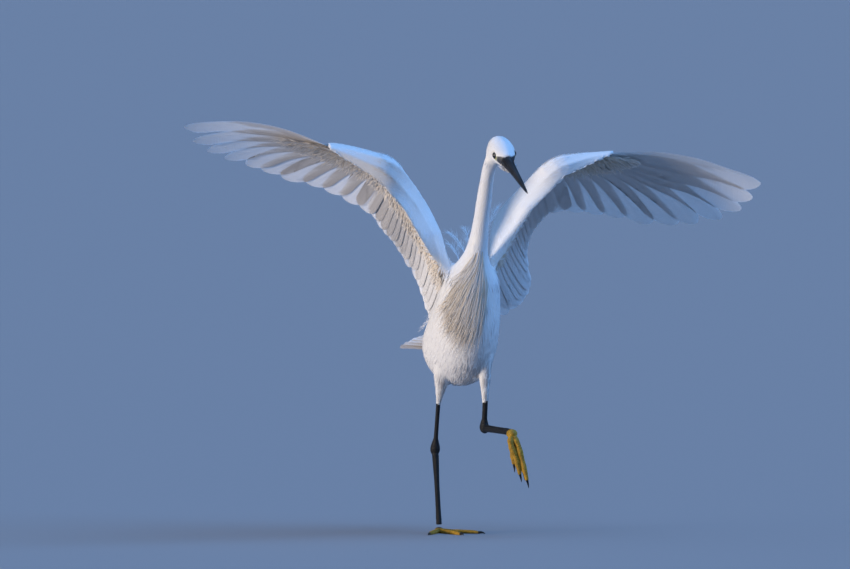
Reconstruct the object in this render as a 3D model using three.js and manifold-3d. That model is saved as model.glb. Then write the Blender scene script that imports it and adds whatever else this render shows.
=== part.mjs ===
// Little egret at life size, standing on its right leg with both wings raised and its left foot lifted.
// Millimetres, +Z up. The bird faces -Y, its left side is +X, and the origin lies on the floor under
// the ball of the standing foot. Feathers are thin plates that are rooted in the part they grow from.

import * as THREE from "three";
import { mergeVertices } from "three/addons/utils/BufferGeometryUtils.js";
import Module from "manifold-3d";

const wasm = await Module();
wasm.setup();

// Driving sizes

const GAP = 0.3;
const HALF_GAP = GAP / 2;
const MIDLINE_X = 28;
const BILL_LENGTH = 85;
const TAIL_LENGTH = 92;
const EYE_RADIUS = 4.9;
const CLAW_LENGTH = 9;

const UP = new THREE.Vector3(0, 0, 1);

// Small tools

const vec = (x, y, z) => new THREE.Vector3(x, y, z);
const mix = (a, b, t) => a.clone().lerp(b, t);
const along = (point, direction, distance) => point.clone().addScaledVector(direction, distance);
const toward = (a, b) => b.clone().sub(a).normalize();
const cross = (a, b) => new THREE.Vector3().crossVectors(a, b).normalize();
const lerp = THREE.MathUtils.lerp;
const clamp = THREE.MathUtils.clamp;
const radians = THREE.MathUtils.degToRad;

// A repeatable stream of numbers from 0 to 1
function seeded(seed) {
  let state = seed;
  return () => {
    state = (state * 16807) % 2147483647;
    return state / 2147483647;
  };
}

// The value of a list of numbers at a fractional place in it
function sample(values, place) {
  const low = clamp(Math.floor(place), 0, values.length - 2);
  return lerp(values[low], values[low + 1], clamp(place - low, 0, 1));
}

// Turns points and triangles into a solid, with its faces pointing out
function solidFrom(points, faces) {
  let volume = 0;
  for (let i = 0; i < faces.length; i += 3) {
    const [a, b, c] = [points[faces[i]], points[faces[i + 1]], points[faces[i + 2]]];
    volume += a.dot(new THREE.Vector3().crossVectors(b, c));
  }
  const turned = volume < 0 ? [...faces].reverse() : faces;
  const vertProperties = new Float32Array(points.flatMap((p) => [p.x, p.y, p.z]));
  return new wasm.Manifold(new wasm.Mesh({ numProp: 3, vertProperties, triVerts: new Uint32Array(turned) }));
}

// A closed skin over rings of points, each with the same count, fanned shut at both ends
function loft(rings) {
  const count = rings[0].length;
  const points = rings.flat();
  const faces = [];
  for (let ring = 0; ring + 1 < rings.length; ring += 1) {
    for (let i = 0; i < count; i += 1) {
      const a = ring * count + i;
      const b = ring * count + ((i + 1) % count);
      faces.push(a, b, b + count, a, b + count, a + count);
    }
  }
  const ends = [[0, 0], [rings.length - 1, (rings.length - 1) * count]];
  for (const [which, start] of ends) {
    const middle = new THREE.Vector3();
    rings[which].forEach((p) => middle.addScaledVector(p, 1 / count));
    points.push(middle);
    const hub = points.length - 1;
    for (let i = 0; i < count; i += 1) {
      const a = start + i;
      const b = start + ((i + 1) % count);
      faces.push(...(which === 0 ? [b, a, hub] : [a, b, hub]));
    }
  }
  return solidFrom(points, faces);
}

// A thin plate between rows of points on its upper and its lower face, split alike on both
function plate(upper, lower) {
  const rows = upper.length;
  const columns = upper[0].length;
  const points = [...upper.flat(), ...lower.flat()];
  const faces = [];
  const quad = (a, b, c, d) => faces.push(a, b, c, a, c, d);
  const top = (row, column) => row * columns + column;
  const under = (row, column) => rows * columns + row * columns + column;
  for (let row = 0; row + 1 < rows; row += 1) {
    for (let column = 0; column + 1 < columns; column += 1) {
      quad(top(row, column), top(row, column + 1), top(row + 1, column + 1), top(row + 1, column));
      faces.push(under(row, column), under(row + 1, column + 1), under(row, column + 1));
      faces.push(under(row, column), under(row + 1, column), under(row + 1, column + 1));
    }
    quad(top(row, 0), top(row + 1, 0), under(row + 1, 0), under(row, 0));
    quad(top(row + 1, columns - 1), top(row, columns - 1), under(row, columns - 1), under(row + 1, columns - 1));
  }
  for (let column = 0; column + 1 < columns; column += 1) {
    quad(top(0, column + 1), top(0, column), under(0, column), under(0, column + 1));
    quad(top(rows - 1, column), top(rows - 1, column + 1), under(rows - 1, column + 1), under(rows - 1, column));
  }
  return solidFrom(points, faces);
}

// Half width of a feather from root to tip, as a share of its widest
const FLIGHT_OUTLINE = [[0, 0.3], [0.3, 0.86], [0.8, 0.94], [1, 0.24]];
const COVERT_OUTLINE = [[0, 0.5], [0.55, 1], [1, 0.3]];
const PLUME_OUTLINE = [[0, 0.7], [0.25, 1], [0.65, 0.7], [1, 0.12]];

// One feather along a path: a thin plate, rolled about its shaft so that neighbours lap like tiles.
// lead is the share of its width ahead of the shaft, which lies on the side that the roll lifts
function vane({ path, normal, wide, outline, side = 1, roll = 0, lead = 0.5, thick = 0.8 }) {
  const upper = [];
  const lower = [];
  for (const [t, share] of outline) {
    const here = path(t);
    const tangent = toward(path(Math.max(t - 0.02, 0)), path(Math.min(t + 0.02, 1)));
    const across = cross(tangent, normal).multiplyScalar(side);
    const up = cross(across, tangent).multiplyScalar(side);
    const tilted = across.clone().multiplyScalar(Math.cos(roll)).addScaledVector(up, Math.sin(roll));
    const face = cross(tilted, tangent).multiplyScalar(side);
    const half = (thick * lerp(1, 0.62, t)) / 2;
    const edges = [along(here, tilted, wide * share * lead), along(here, tilted, -wide * share * (1 - lead))];
    upper.push(edges.map((point) => along(point, face, half)));
    lower.push(edges.map((point) => along(point, face, -half)));
  }
  return plate(upper, lower);
}

// A ring round a centre: half widths to the side, and heights above and below
function ringAt(centre, side, up, wide, above, below, sides) {
  return Array.from({ length: sides }, (_, i) => {
    const turn = (i / sides) * Math.PI * 2;
    const lift = Math.sin(turn) > 0 ? above : below;
    return along(along(centre, side, Math.cos(turn) * wide), up, Math.sin(turn) * lift);
  });
}

// A round or oval limb along a curve, with radii spread evenly from start to end
function limb(path, radii, { sides = 8, steps = radii.length - 1, flat = 1, grow = 0, upHint = UP } = {}) {
  const curve = new THREE.CatmullRomCurve3(path, false, "centripetal");
  const rings = [];
  for (let i = 0; i <= steps; i += 1) {
    const t = i / steps;
    const tangent = curve.getTangent(t);
    const side = cross(tangent, upHint);
    const up = cross(side, tangent);
    const radius = sample(radii, t * (radii.length - 1)) + grow;
    const endShift = i === 0 ? -grow : i === steps ? grow : 0;
    rings.push(ringAt(along(curve.getPoint(t), tangent, endShift), side, up, radius, radius * flat, radius * flat, sides));
  }
  return loft(rings);
}

// A three.js geometry, placed by a matrix, as a solid
function solidOf(geometry, matrix = new THREE.Matrix4()) {
  const bare = geometry.clone().applyMatrix4(matrix);
  bare.deleteAttribute("normal");
  bare.deleteAttribute("uv");
  const merged = mergeVertices(bare, 1e-4);
  const place = merged.getAttribute("position");
  const points = Array.from({ length: place.count }, (_, i) => vec(place.getX(i), place.getY(i), place.getZ(i)));
  return solidFrom(points, Array.from(merged.index.array));
}

// Everything on one side of a plane, as one great box
function beyond(point, normal) {
  const reach = 1200;
  const turn = new THREE.Quaternion().setFromUnitVectors(UP, normal.clone().normalize());
  const centre = along(point, normal.clone().normalize(), reach / 2);
  const place = new THREE.Matrix4().compose(centre, turn, vec(1, 1, 1));
  return solidOf(new THREE.BoxGeometry(reach, reach, reach), place);
}

// The largest closed body of a solid
function largest(solid) {
  const bodies = solid.decompose();
  return bodies.reduce((best, body) => (body.volume() > best.volume() ? body : best), bodies[0]);
}

const join = (pieces) => pieces.reduce((sum, piece) => sum.add(piece));
const cut = (solid, ...tools) => tools.reduce((left, tool) => left.subtract(tool), solid);

// Materials

const finish = (color, roughness) => new THREE.MeshStandardMaterial({ color, roughness, metalness: 0 });
const WHITE = finish(0xf4f2ee, 0.85);
const BLACK = finish(0x17181b, 0.5);
const YELLOW = finish(0xa8a63a, 0.55);
const IRIS = finish(0xe8dc8a, 0.2);
const CLAW = finish(0x1b1a1a, 0.4);

const egret = new THREE.Group();

// Turns a finished solid into a named mesh of the bird
function addNode(name, solid, material) {
  const { vertProperties, triVerts } = largest(solid).getMesh();
  const geometry = new THREE.BufferGeometry();
  geometry.setAttribute("position", new THREE.BufferAttribute(new Float32Array(vertProperties), 3));
  geometry.setIndex(new THREE.BufferAttribute(new Uint32Array(triVerts), 1));
  geometry.computeVertexNormals();
  const mesh = new THREE.Mesh(geometry, material);
  mesh.name = name;
  egret.add(mesh);
}

// Trunk and neck: one run of oval sections from the rump to the nape, along a bent midline

const TRUNK = [
  { at: vec(MIDLINE_X, 80, 238), wide: 7, above: 5, below: 6 },
  { at: vec(MIDLINE_X, 68, 236), wide: 20, above: 15, below: 19 },
  { at: vec(MIDLINE_X, 48, 233), wide: 36, above: 31, below: 38 },
  { at: vec(MIDLINE_X, 22, 237), wide: 46, above: 46, below: 54 },
  { at: vec(MIDLINE_X, -4, 248), wide: 47, above: 57, below: 64 },
  { at: vec(MIDLINE_X, -27, 272), wide: 44.5, above: 56, below: 60 },
  { at: vec(MIDLINE_X, -44, 302), wide: 41, above: 45, below: 47 },
  { at: vec(MIDLINE_X + 1, -55, 327), wide: 35, above: 36, below: 34 },
  { at: vec(MIDLINE_X + 1, -61, 343), wide: 24, above: 27, below: 25 },
];
const NECK = [
  { at: vec(MIDLINE_X + 2, -66, 358), wide: 16.5, above: 18, below: 19 },
  { at: vec(32, -72, 379), wide: 13, above: 14, below: 15 },
  { at: vec(33, -79, 402), wide: 11.2, above: 12, below: 13 },
  { at: vec(34, -88, 426), wide: 11, above: 11.5, below: 12 },
  { at: vec(34, -99, 448), wide: 10, above: 11, below: 11 },
  { at: vec(33.6, -112, 466), wide: 9.8, above: 11, below: 10.5 },
  { at: vec(35.4, -126, 477.5), wide: 12.6, above: 11.5, below: 9 },
];
const BODY_RUN = [...TRUNK, ...NECK];
const BODY_CURVE = new THREE.CatmullRomCurve3(BODY_RUN.map((row) => row.at), false, "centripetal");
const BODY_SIDES = 16;

// A point of the skin of the body: at a place in the run and an angle about it, lifted off by a little
function bodyPoint(place, turn, lift = 0) {
  const t = clamp(place / (BODY_RUN.length - 1), 0, 1);
  const tangent = BODY_CURVE.getTangent(t);
  const side = vec(1, 0, 0);
  const up = cross(tangent, side);
  const size = (key) => sample(BODY_RUN.map((row) => row[key]), place) + lift;
  const [across, rise] = [Math.cos(turn), Math.sin(turn)];
  const outward = along(side.multiplyScalar(across * size("wide")), up, rise * size(rise > 0 ? "above" : "below"));
  return BODY_CURVE.getPoint(t).add(outward);
}

// The section of trunk or neck at a place in the run, which may lie between two rows
function bodySection(place, grow = 0, shift = 0) {
  const tangent = BODY_CURVE.getTangent(place / (BODY_RUN.length - 1));
  const turn = (i) => (i / BODY_SIDES) * Math.PI * 2;
  return Array.from({ length: BODY_SIDES }, (_, i) => along(bodyPoint(place, turn(i), grow), tangent, shift));
}

// A length of the body between two places in the run
function bodyLength(start, end, { grow = 0, perRow = 2 } = {}) {
  const steps = Math.round((end - start) * perRow);
  const rings = Array.from({ length: steps + 1 }, (_, i) => {
    const shift = (i === 0 ? 1 : i === steps ? -1 : 0) * (HALF_GAP - grow);
    return bodySection(lerp(start, end, i / steps), grow, shift);
  });
  return loft(rings);
}

const NECK_START = TRUNK.length - 0.5;
const NECK_MIDDLE = TRUNK.length + 2.5;
const NECK_END = BODY_RUN.length - 1;

const trunkForm = (grow = 0) => bodyLength(0, NECK_START, { grow });
const neckForm = (grow = 0) => bodyLength(NECK_START, NECK_MIDDLE, { grow });

// Breast plumes: narrow locks that hang from the foot of the neck, blown over to the right side
const BREAST_PLUMES = 8;
const BREAST_FROM = { place: 8.35, turn: [radians(14), radians(-26)] };
const BREAST_TO = { place: 4.8, turn: [radians(3), radians(-47)] };

function breastPlumes() {
  const random = seeded(11);
  return Array.from({ length: BREAST_PLUMES }, (_, i) => {
    const share = i / (BREAST_PLUMES - 1);
    const front = Math.PI * 1.5;
    const start = BREAST_FROM.place - 1.2 * random();
    const end = BREAST_TO.place + 0.9 * random() + 0.5 * Math.abs(share - 0.5);
    const lift = 1.4 + 1.6 * (i % 2) + 1.2 * (start - BREAST_FROM.place + 1.2);
    const path = (t) => bodyPoint(
      lerp(start, end, t),
      front + lerp(lerp(...BREAST_FROM.turn, share), lerp(...BREAST_TO.turn, share), t),
      lerp(-3, lift, Math.min(t * 3, 1)),
    );
    const normal = toward(bodyPoint((start + end) / 2, front, -20), path(0.5));
    return vane({ path, normal, wide: 9, outline: PLUME_OUTLINE, thick: 1.5 });
  });
}

// Back plumes: long locks from between the shoulders. Most trail over the tail, and a few are raised
const BACK_PLUMES = [
  { root: [6.1, radians(97)], rise: -0.05, tip: vec(27, 154, 248) },
  { root: [6.5, radians(95)], rise: -0.04, tip: vec(28, 168, 246) },
  { root: [6.2, radians(90)], rise: -0.04, tip: vec(32, 178, 248) },
  { root: [6.6, radians(80)], rise: -0.05, tip: vec(37, 166, 246) },
  { root: [6.1, radians(69)], rise: -0.05, tip: vec(42, 152, 249) },
  { root: [6.9, radians(96)], rise: 0.12, tip: vec(27, 134, 296) },
  { root: [7, radians(84)], rise: 0.12, tip: vec(38, 124, 314) },
  { root: [7.3, radians(104)], rise: 0.27, tip: vec(22, 60, 360) },
  { root: [7.4, radians(92)], rise: 0.27, tip: vec(31, 66, 377) },
  { root: [7.3, radians(78)], rise: 0.27, tip: vec(45, 60, 386) },
  { root: [7.2, radians(66)], rise: 0.18, tip: vec(91, 40, 419) },
];

function backPlumes() {
  return BACK_PLUMES.map(({ root, rise, tip }) => {
    const start = bodyPoint(...root, -3);
    const bend = mix(start, tip, 0.45).addScaledVector(UP, start.distanceTo(tip) * rise);
    const curve = new THREE.QuadraticBezierCurve3(start, bend, tip);
    const path = (t) => curve.getPoint(t);
    const normal = cross(vec(1, 0, 0), toward(start, tip));
    return vane({ path, normal, wide: 9, outline: PLUME_OUTLINE, thick: 1.6 });
  });
}

// Head: oval sections along an axis that points forward, down and a little to the left

const EYES_MIDDLE = vec(43.7, -147, 482.3);
const HEAD_YAW = radians(2.5);
const HEAD_PITCH = radians(24.5);
const HEAD_ROLL = radians(5);
const HEAD_AXIS = vec(Math.sin(HEAD_YAW) * Math.cos(HEAD_PITCH), -Math.cos(HEAD_YAW) * Math.cos(HEAD_PITCH), -Math.sin(HEAD_PITCH));
const HEAD_SIDE = cross(HEAD_AXIS, UP).multiplyScalar(-1).applyAxisAngle(HEAD_AXIS, HEAD_ROLL);
const HEAD_UP = cross(HEAD_SIDE, HEAD_AXIS).multiplyScalar(-1);
const HEAD_RUN = [
  { ahead: -42, wide: 4, above: 4, below: 5 },
  { ahead: -38, wide: 10, above: 10, below: 11 },
  { ahead: -28, wide: 15.5, above: 15.5, below: 16 },
  { ahead: -14, wide: 17.2, above: 17, below: 16.5 },
  { ahead: -3, wide: 16.5, above: 15, below: 14.5 },
  { ahead: 7, wide: 12.5, above: 11.5, below: 12.5 },
  { ahead: 14, wide: 9, above: 9, below: 10.5 },
];
const BILL_START = 14;
const HEAD_SIDES = 14;

const headPoint = (ahead, left, up) => along(along(along(EYES_MIDDLE, HEAD_AXIS, ahead), HEAD_SIDE, left), HEAD_UP, up);

function headForm(grow = 0) {
  return loft(HEAD_RUN.map((row, i) => {
    const end = i === 0 ? -grow : i === HEAD_RUN.length - 1 ? grow : 0;
    const centre = headPoint(row.ahead + end, 0, 0);
    return ringAt(centre, HEAD_SIDE, HEAD_UP, row.wide + grow, row.above + grow, row.below + grow, HEAD_SIDES);
  }));
}

const LID_WIDTH = 1.2;
const EYE_OPENING = 4.1;
const MOUTH_LINE = 0.6;
const MOUTH_DEPTH = 1.2;
const GAPE = { back: -1, front: 20, drop: 4.6 };
const NOSTRIL = { ahead: 6.5, length: 8, rise: 2.2, height: 1.1 };
const EYE_OUT = 11.6;
const EYE_RISE = 1.5;
const eyeCentre = (side) => headPoint(0, side * EYE_OUT, EYE_RISE);

function eyeForm(side, grow = 0, sides = 12) {
  const place = new THREE.Matrix4().setPosition(eyeCentre(side));
  return solidOf(new THREE.SphereGeometry(EYE_RADIUS + grow, sides, sides / 2), place);
}

// The opening between the lids, as a round bar across the head
function eyeOpening(side) {
  const turn = new THREE.Quaternion().setFromUnitVectors(vec(0, 1, 0), HEAD_SIDE);
  const middle = headPoint(0, side * (EYE_OUT + EYE_RADIUS), EYE_RISE);
  const place = new THREE.Matrix4().compose(middle, turn, vec(1, 1, 1));
  return solidOf(new THREE.CylinderGeometry(EYE_OPENING, EYE_OPENING, EYE_RADIUS * 2, 10), place);
}

// A box that lies across the head, wider than it, as long and as high as given
function headBar(back, front, height, up) {
  const basis = new THREE.Matrix4().makeBasis(HEAD_AXIS, HEAD_SIDE, HEAD_UP);
  basis.setPosition(headPoint((back + front) / 2, 0, up));
  return solidOf(new THREE.BoxGeometry(front - back, 80, height), basis);
}

// Bill: a long spear whose halves meet along the line of the mouth

const BILL_RUN = [
  { ahead: 0, wide: 7.6, above: 7.6, below: 8.4 },
  { ahead: 12, wide: 6, above: 6.2, below: 6.6 },
  { ahead: 35, wide: 4.4, above: 4.9, below: 4.9 },
  { ahead: 60, wide: 3, above: 3.4, below: 3.2 },
  { ahead: 78, wide: 1.6, above: 1.9, below: 1.6 },
  { ahead: BILL_LENGTH, wide: 0.5, above: 0.5, below: 0.5 },
];
const BILL_DROP = 0.035;

function billForm(grow = 0) {
  return loft(BILL_RUN.map((row) => {
    const centre = headPoint(BILL_START + GAP + row.ahead, 0, -1 - row.ahead * BILL_DROP);
    return ringAt(centre, HEAD_SIDE, HEAD_UP, row.wide + grow, row.above + grow, row.below + grow, 12);
  }));
}

const BILL_AXIS = toward(headPoint(0, 0, 0), headPoint(1, 0, -BILL_DROP));
const MOUTH_POINT = headPoint(BILL_START, 0, -2);
const MOUTH_NORMAL = cross(HEAD_SIDE, BILL_AXIS).multiplyScalar(-1);

function addHead() {
  const eyes = [eyeForm(-1, GAP), eyeForm(1, GAP), eyeOpening(-1), eyeOpening(1)];
  const lids = [eyeForm(-1, LID_WIDTH, 10), eyeForm(1, LID_WIDTH, 10)];
  const gape = headBar(GAPE.back, GAPE.front, MOUTH_LINE, -GAPE.drop).subtract(headForm(-MOUTH_DEPTH));
  const nostrils = headBar(BILL_START + NOSTRIL.ahead, BILL_START + NOSTRIL.ahead + NOSTRIL.length, NOSTRIL.height, NOSTRIL.rise)
    .subtract(billForm(-1));
  const neckTop = bodyLength(NECK_MIDDLE, NECK_END);
  addNode("neck_upper", cut(neckTop, headForm(GAP)), WHITE);
  addNode("head", cut(join([headForm(), ...lids]), ...eyes, gape), WHITE);
  addNode("eye_right", eyeForm(-1), IRIS);
  addNode("eye_left", eyeForm(1), IRIS);
  const above = beyond(along(MOUTH_POINT, MOUTH_NORMAL, HALF_GAP), MOUTH_NORMAL);
  const below = beyond(along(MOUTH_POINT, MOUTH_NORMAL, -HALF_GAP), MOUTH_NORMAL.clone().negate());
  addNode("bill_upper", cut(billForm().intersect(above), nostrils), BLACK);
  addNode("bill_lower", billForm().intersect(below), BLACK);
}

// Wings. A place on the wing is a feather number: 0 to 3 are the tertials on the upper arm,
// 4 to 15 the secondaries on the forearm and 16 to 25 the primaries on the hand.

const FIRST_SECONDARY = 4;
const FIRST_PRIMARY = 16;
const LAST_PRIMARY = 25;
const JOINT_ROUNDING = 1.4;
const EDGE_BEND = 0.55;
const WINGS = {
  right: {
    side: -1,
    shoulder: vec(-1, -45, 339),
    elbow: vec(-20.6, 7, 406),
    wrist: vec(-79, -56, 470),
    handEnd: vec(-160.8, -52.7, 493.6),
    edge: [vec(-21.7, -48, 347.5), vec(-62.5, -61, 411), vec(-98, -63.4, 450.4), vec(-161, -60, 490)],
    tips: [[-3, vec(13, 64, 270)], [0, vec(11.8, 96.5, 275.6)], [4, vec(1.3, 105, 314.8)],
      [8, vec(-20.8, 97.9, 349)], [12, vec(-47.5, 86, 379)], [15, vec(-74, 82, 407)],
      [18, vec(-144.8, 91, 438)], [21, vec(-228.5, 90, 463)], [23, vec(-288, 64, 483.4)],
      [24, vec(-315.6, 42, 498.5)], [25, vec(-334.4, 18, 517)]],
  },
  left: {
    side: 1,
    shoulder: vec(59, -41, 339),
    elbow: vec(85.7, 8.7, 397),
    wrist: vec(136, -51, 468),
    handEnd: vec(218, -48.7, 482.8),
    edge: [vec(66, -54.3, 347.5), vec(101.7, -64.5, 408.6), vec(144.8, -66.5, 452), vec(208.8, -60, 480.4)],
    tips: [[-3, vec(60, 64, 268)], [0, vec(130, 88, 282)], [4, vec(150, 98, 311)],
      [8, vec(147, 102, 354)], [12, vec(159, 92, 388)], [15, vec(179, 79, 404)],
      [18, vec(254, 60, 394)], [21, vec(350, 28, 385)], [23, vec(395, -22, 406)],
      [24, vec(406.4, -43, 422)], [25, vec(413, -60, 440)]],
  },
};

// Bone, leading edge, feather tip and the dorsal side at one place on a wing
function wingFrame(wing, place) {
  const joints = (k) => {
    if (k < FIRST_SECONDARY - 0.5) {
      return mix(wing.shoulder, wing.elbow, (k + 3.5) / 7);
    }
    if (k < FIRST_PRIMARY - 0.5) {
      return mix(wing.elbow, wing.wrist, (k - FIRST_SECONDARY + 0.5) / 12);
    }
    return mix(wing.wrist, wing.handEnd, (k - FIRST_PRIMARY + 0.5) / 9.5);
  };
  const bone = (k) => mix(mix(joints(k - JOINT_ROUNDING), joints(k + JOINT_ROUNDING), 0.5), joints(k), 1 / 3);
  const tipCurve = new THREE.CatmullRomCurve3(wing.tips.map(([, point]) => point), false, "centripetal");
  const tip = (k) => {
    const inner = clamp(k, wing.tips[0][0], LAST_PRIMARY);
    const next = Math.max(wing.tips.findIndex(([at]) => at >= inner), 1);
    const [low, high] = [wing.tips[next - 1][0], wing.tips[next][0]];
    return tipCurve.getPoint((next - 1 + (inner - low) / (high - low)) / (wing.tips.length - 1));
  };
  const [edgeShoulder, edgeMiddle, edgeWrist, edgeHand] = wing.edge;
  const edge = (k) => {
    if (k >= FIRST_PRIMARY - 0.5) {
      return mix(edgeWrist, edgeHand, (k - FIRST_PRIMARY + 0.5) / 9.5);
    }
    const run = (k + 3.5) / 19;
    return run < EDGE_BEND
      ? mix(edgeShoulder, edgeMiddle, run / EDGE_BEND)
      : mix(edgeMiddle, edgeWrist, (run - EDGE_BEND) / (1 - EDGE_BEND));
  };
  const [root, end, front] = [bone(place), tip(place), edge(place)];
  const here = clamp(place, wing.tips[0][0] + 0.5, LAST_PRIMARY - 0.5);
  const span = toward(mix(bone(here - 0.5), tip(here - 0.5), 0.4), mix(bone(here + 0.5), tip(here + 0.5), 0.4));
  const dorsal = cross(span, toward(bone(here), tip(here))).multiplyScalar(wing.side);
  return { root, end, front, dorsal, span, length: root.distanceTo(end) };
}

// Half thickness of the arm above and below the bone, from the shoulder to the end of the hand
const thickness = (place, arm, wrist, end) => (
  place < FIRST_PRIMARY
    ? lerp(arm, wrist, clamp((place - FIRST_SECONDARY) / 12, 0, 1))
    : lerp(wrist, end, (place - FIRST_PRIMARY) / 9));
const armAbove = (place) => thickness(place, 14, 14, 4.5);
const armBelow = (place) => thickness(place, 9, 8, 3.5);

const FEATHER_BOW = 0.085;
const ARM_REAR = 12;
const LAP = 1.5;
const LAP_WIDTH = 1.2;

// A point of the feathered sheet: at a feather number, which may lie between two feathers, how far
// out from root to tip, and how far off the sheet on its upper side
function sheetPoint(wing, place, share, lift) {
  const inner = Math.min(place, LAST_PRIMARY);
  const frame = wingFrame(wing, inner);
  const bow = frame.length * FEATHER_BOW * 4 * share * (1 - share);
  const point = along(mix(frame.root, frame.end, share), frame.dorsal, bow + lift);
  if (place > LAST_PRIMARY) {
    const back = wingFrame(wing, inner - 0.5);
    const step = mix(frame.root, frame.end, share).sub(mix(back.root, back.end, share));
    point.addScaledVector(step, (place - LAST_PRIMARY) * 2);
  }
  return point;
}

// The closed section of the fleshy arm at one place, square to the arm, from its leading edge to
// just behind the feather roots
function armSection(wing, place) {
  const here = wingFrame(wing, place);
  const inner = wingFrame(wing, place - 0.6);
  const outer = wingFrame(wing, place + 0.6);
  const span = toward(mix(inner.front, inner.root, 0.5), mix(outer.front, outer.root, 0.5));
  const { root, front } = here;
  const dorsal = cross(span, toward(front, root)).multiplyScalar(wing.side);
  const rear = cross(dorsal, span).multiplyScalar(wing.side);
  const above = armAbove(place);
  const below = armBelow(place);
  const middle = mix(front, root, 0.4);
  return [
    along(front, dorsal, 1.2),
    along(middle, dorsal, above * 0.85),
    along(root, dorsal, above),
    along(along(root, rear, ARM_REAR * 0.55), dorsal, above * 0.6),
    along(along(root, rear, ARM_REAR), dorsal, 1.5),
    along(along(root, rear, ARM_REAR), dorsal, -1.5),
    along(along(root, rear, ARM_REAR * 0.55), dorsal, -below * 0.6),
    along(root, dorsal, -below * 0.8),
    along(middle, dorsal, above * 0.3),
    along(front, dorsal, -1.5),
  ];
}

function armLength(wing, start, end, count) {
  return loft(Array.from({ length: count + 1 }, (_, i) => armSection(wing, lerp(start, end, i / count))));
}

// The tiers of feathers. Each runs from one share of a flight feather to another, between two heights
const TIERS = {
  flight: { every: 1, shaft: true, from: 0.02, to: 1, lifts: () => [0, 0], outline: FLIGHT_OUTLINE, thick: 0.8, wide: 1 },
  upperGreater: { every: 2, from: 0, to: 0.44, lifts: (k) => [armAbove(k) * 0.5, 3.7], outline: COVERT_OUTLINE, thick: 0.7, wide: 1 },
  underGreater: { every: 2, from: 0, to: 0.36, lifts: (k) => [-armBelow(k) * 0.4, -3.9], outline: COVERT_OUTLINE, thick: 0.7, wide: 1 },
};
const PRIMARY_COVERT = 0.8;
const featherWidth = (place) => (place < FIRST_PRIMARY ? 24 : lerp(30, 25, (place - FIRST_PRIMARY) / 9));
const leadShare = (place) => (place > 21 ? lerp(0.44, 0.25, (place - 21) / 4) : 0.48);

// One feather of a tier, laid in the sheet. Its leading side is lifted and its trailing side lowered,
// so that each feather passes over the next one out and under the next one in
function tierFeather(wing, place, tier) {
  const [rootLift, tipLift] = tier.lifts(place);
  const reach = tier.to < 1 && place >= FIRST_PRIMARY ? tier.to * PRIMARY_COVERT : tier.to;
  const spacing = (share) => sheetPoint(wing, place - 0.5, share, 0).distanceTo(sheetPoint(wing, place + 0.5, share, 0));
  const wide = Math.max(featherWidth(place), LAP_WIDTH * spacing(reach * 0.8)) * tier.wide;
  const upper = [];
  const lower = [];
  for (const [t, size] of tier.outline) {
    const share = lerp(tier.from, reach, t);
    const lift = lerp(rootLift, tipLift, Math.sqrt(t));
    const half = (tier.thick * lerp(1, 0.7, t)) / 2;
    const reachOut = (wide * size) / spacing(share);
    const steps = [reachOut * leadShare(place), -reachOut * (1 - leadShare(place))];
    if (tier.shaft) {
      steps.splice(1, 0, 0);
    }
    upper.push(steps.map((step) => sheetPoint(wing, place + step, share, lift + step * LAP + half)));
    lower.push(steps.map((step) => sheetPoint(wing, place + step, share, lift + step * LAP - half)));
  }
  return plate(upper, lower);
}

function tierFeathers(wing, first, last) {
  const feathers = [];
  for (const tier of Object.values(TIERS)) {
    for (let place = first; place <= last; place += tier.every) {
      feathers.push(tierFeather(wing, place, tier));
    }
  }
  return feathers;
}

// The alula: a few small feathers on the thumb, at the front of the wrist
const ALULA_FEATHERS = 3;
const ALULA_LENGTH = 42;

function alula(wing) {
  const { front, dorsal, span } = wingFrame(wing, FIRST_PRIMARY + 0.6);
  const rear = cross(dorsal, span).multiplyScalar(wing.side);
  const outward = mix(span, rear, 0.06).normalize();
  return Array.from({ length: ALULA_FEATHERS }, (_, i) => {
    const start = along(along(front, dorsal, 1.5 + i * 1.3), rear, 2 + i * 3);
    const path = (t) => along(along(start, outward, ALULA_LENGTH * (1 - 0.14 * i) * t), dorsal, 4 * t * (1 - t) + 2 * t);
    return vane({ path, normal: dorsal, wide: 9, outline: COVERT_OUTLINE, thick: 0.8 });
  });
}

function addWing(name, wing) {
  const border = (place) => {
    const { root, end, dorsal } = wingFrame(wing, place);
    return { root, out: cross(toward(root, end), dorsal).multiplyScalar(wing.side) };
  };
  const elbow = border(FIRST_SECONDARY - 0.5);
  const wrist = border(FIRST_PRIMARY - 0.5);
  const outside = ({ root, out }) => beyond(along(root, out, -HALF_GAP), out);
  const inside = ({ root, out }) => beyond(along(root, out, HALF_GAP), out.clone().negate());
  const upperArm = join([armLength(wing, -3.5, FIRST_SECONDARY + 0.5, 6), ...tierFeathers(wing, -3, FIRST_SECONDARY - 1)]);
  const forearm = join([armLength(wing, FIRST_SECONDARY - 1.5, FIRST_PRIMARY + 0.5, 8),
    ...tierFeathers(wing, FIRST_SECONDARY, FIRST_PRIMARY - 1)]);
  const hand = join([armLength(wing, FIRST_PRIMARY - 1.5, LAST_PRIMARY, 6), ...alula(wing),
    ...tierFeathers(wing, FIRST_PRIMARY, LAST_PRIMARY)]);
  addNode(`${name}_wing_upper_arm`, cut(upperArm, trunkForm(GAP), outside(elbow)), WHITE);
  addNode(`${name}_wing_forearm`, cut(forearm, inside(elbow), outside(wrist)), WHITE);
  addNode(`${name}_wing_hand`, cut(hand, inside(wrist)), WHITE);
}

// Tail: twelve feathers, the middle pair on top

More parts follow.
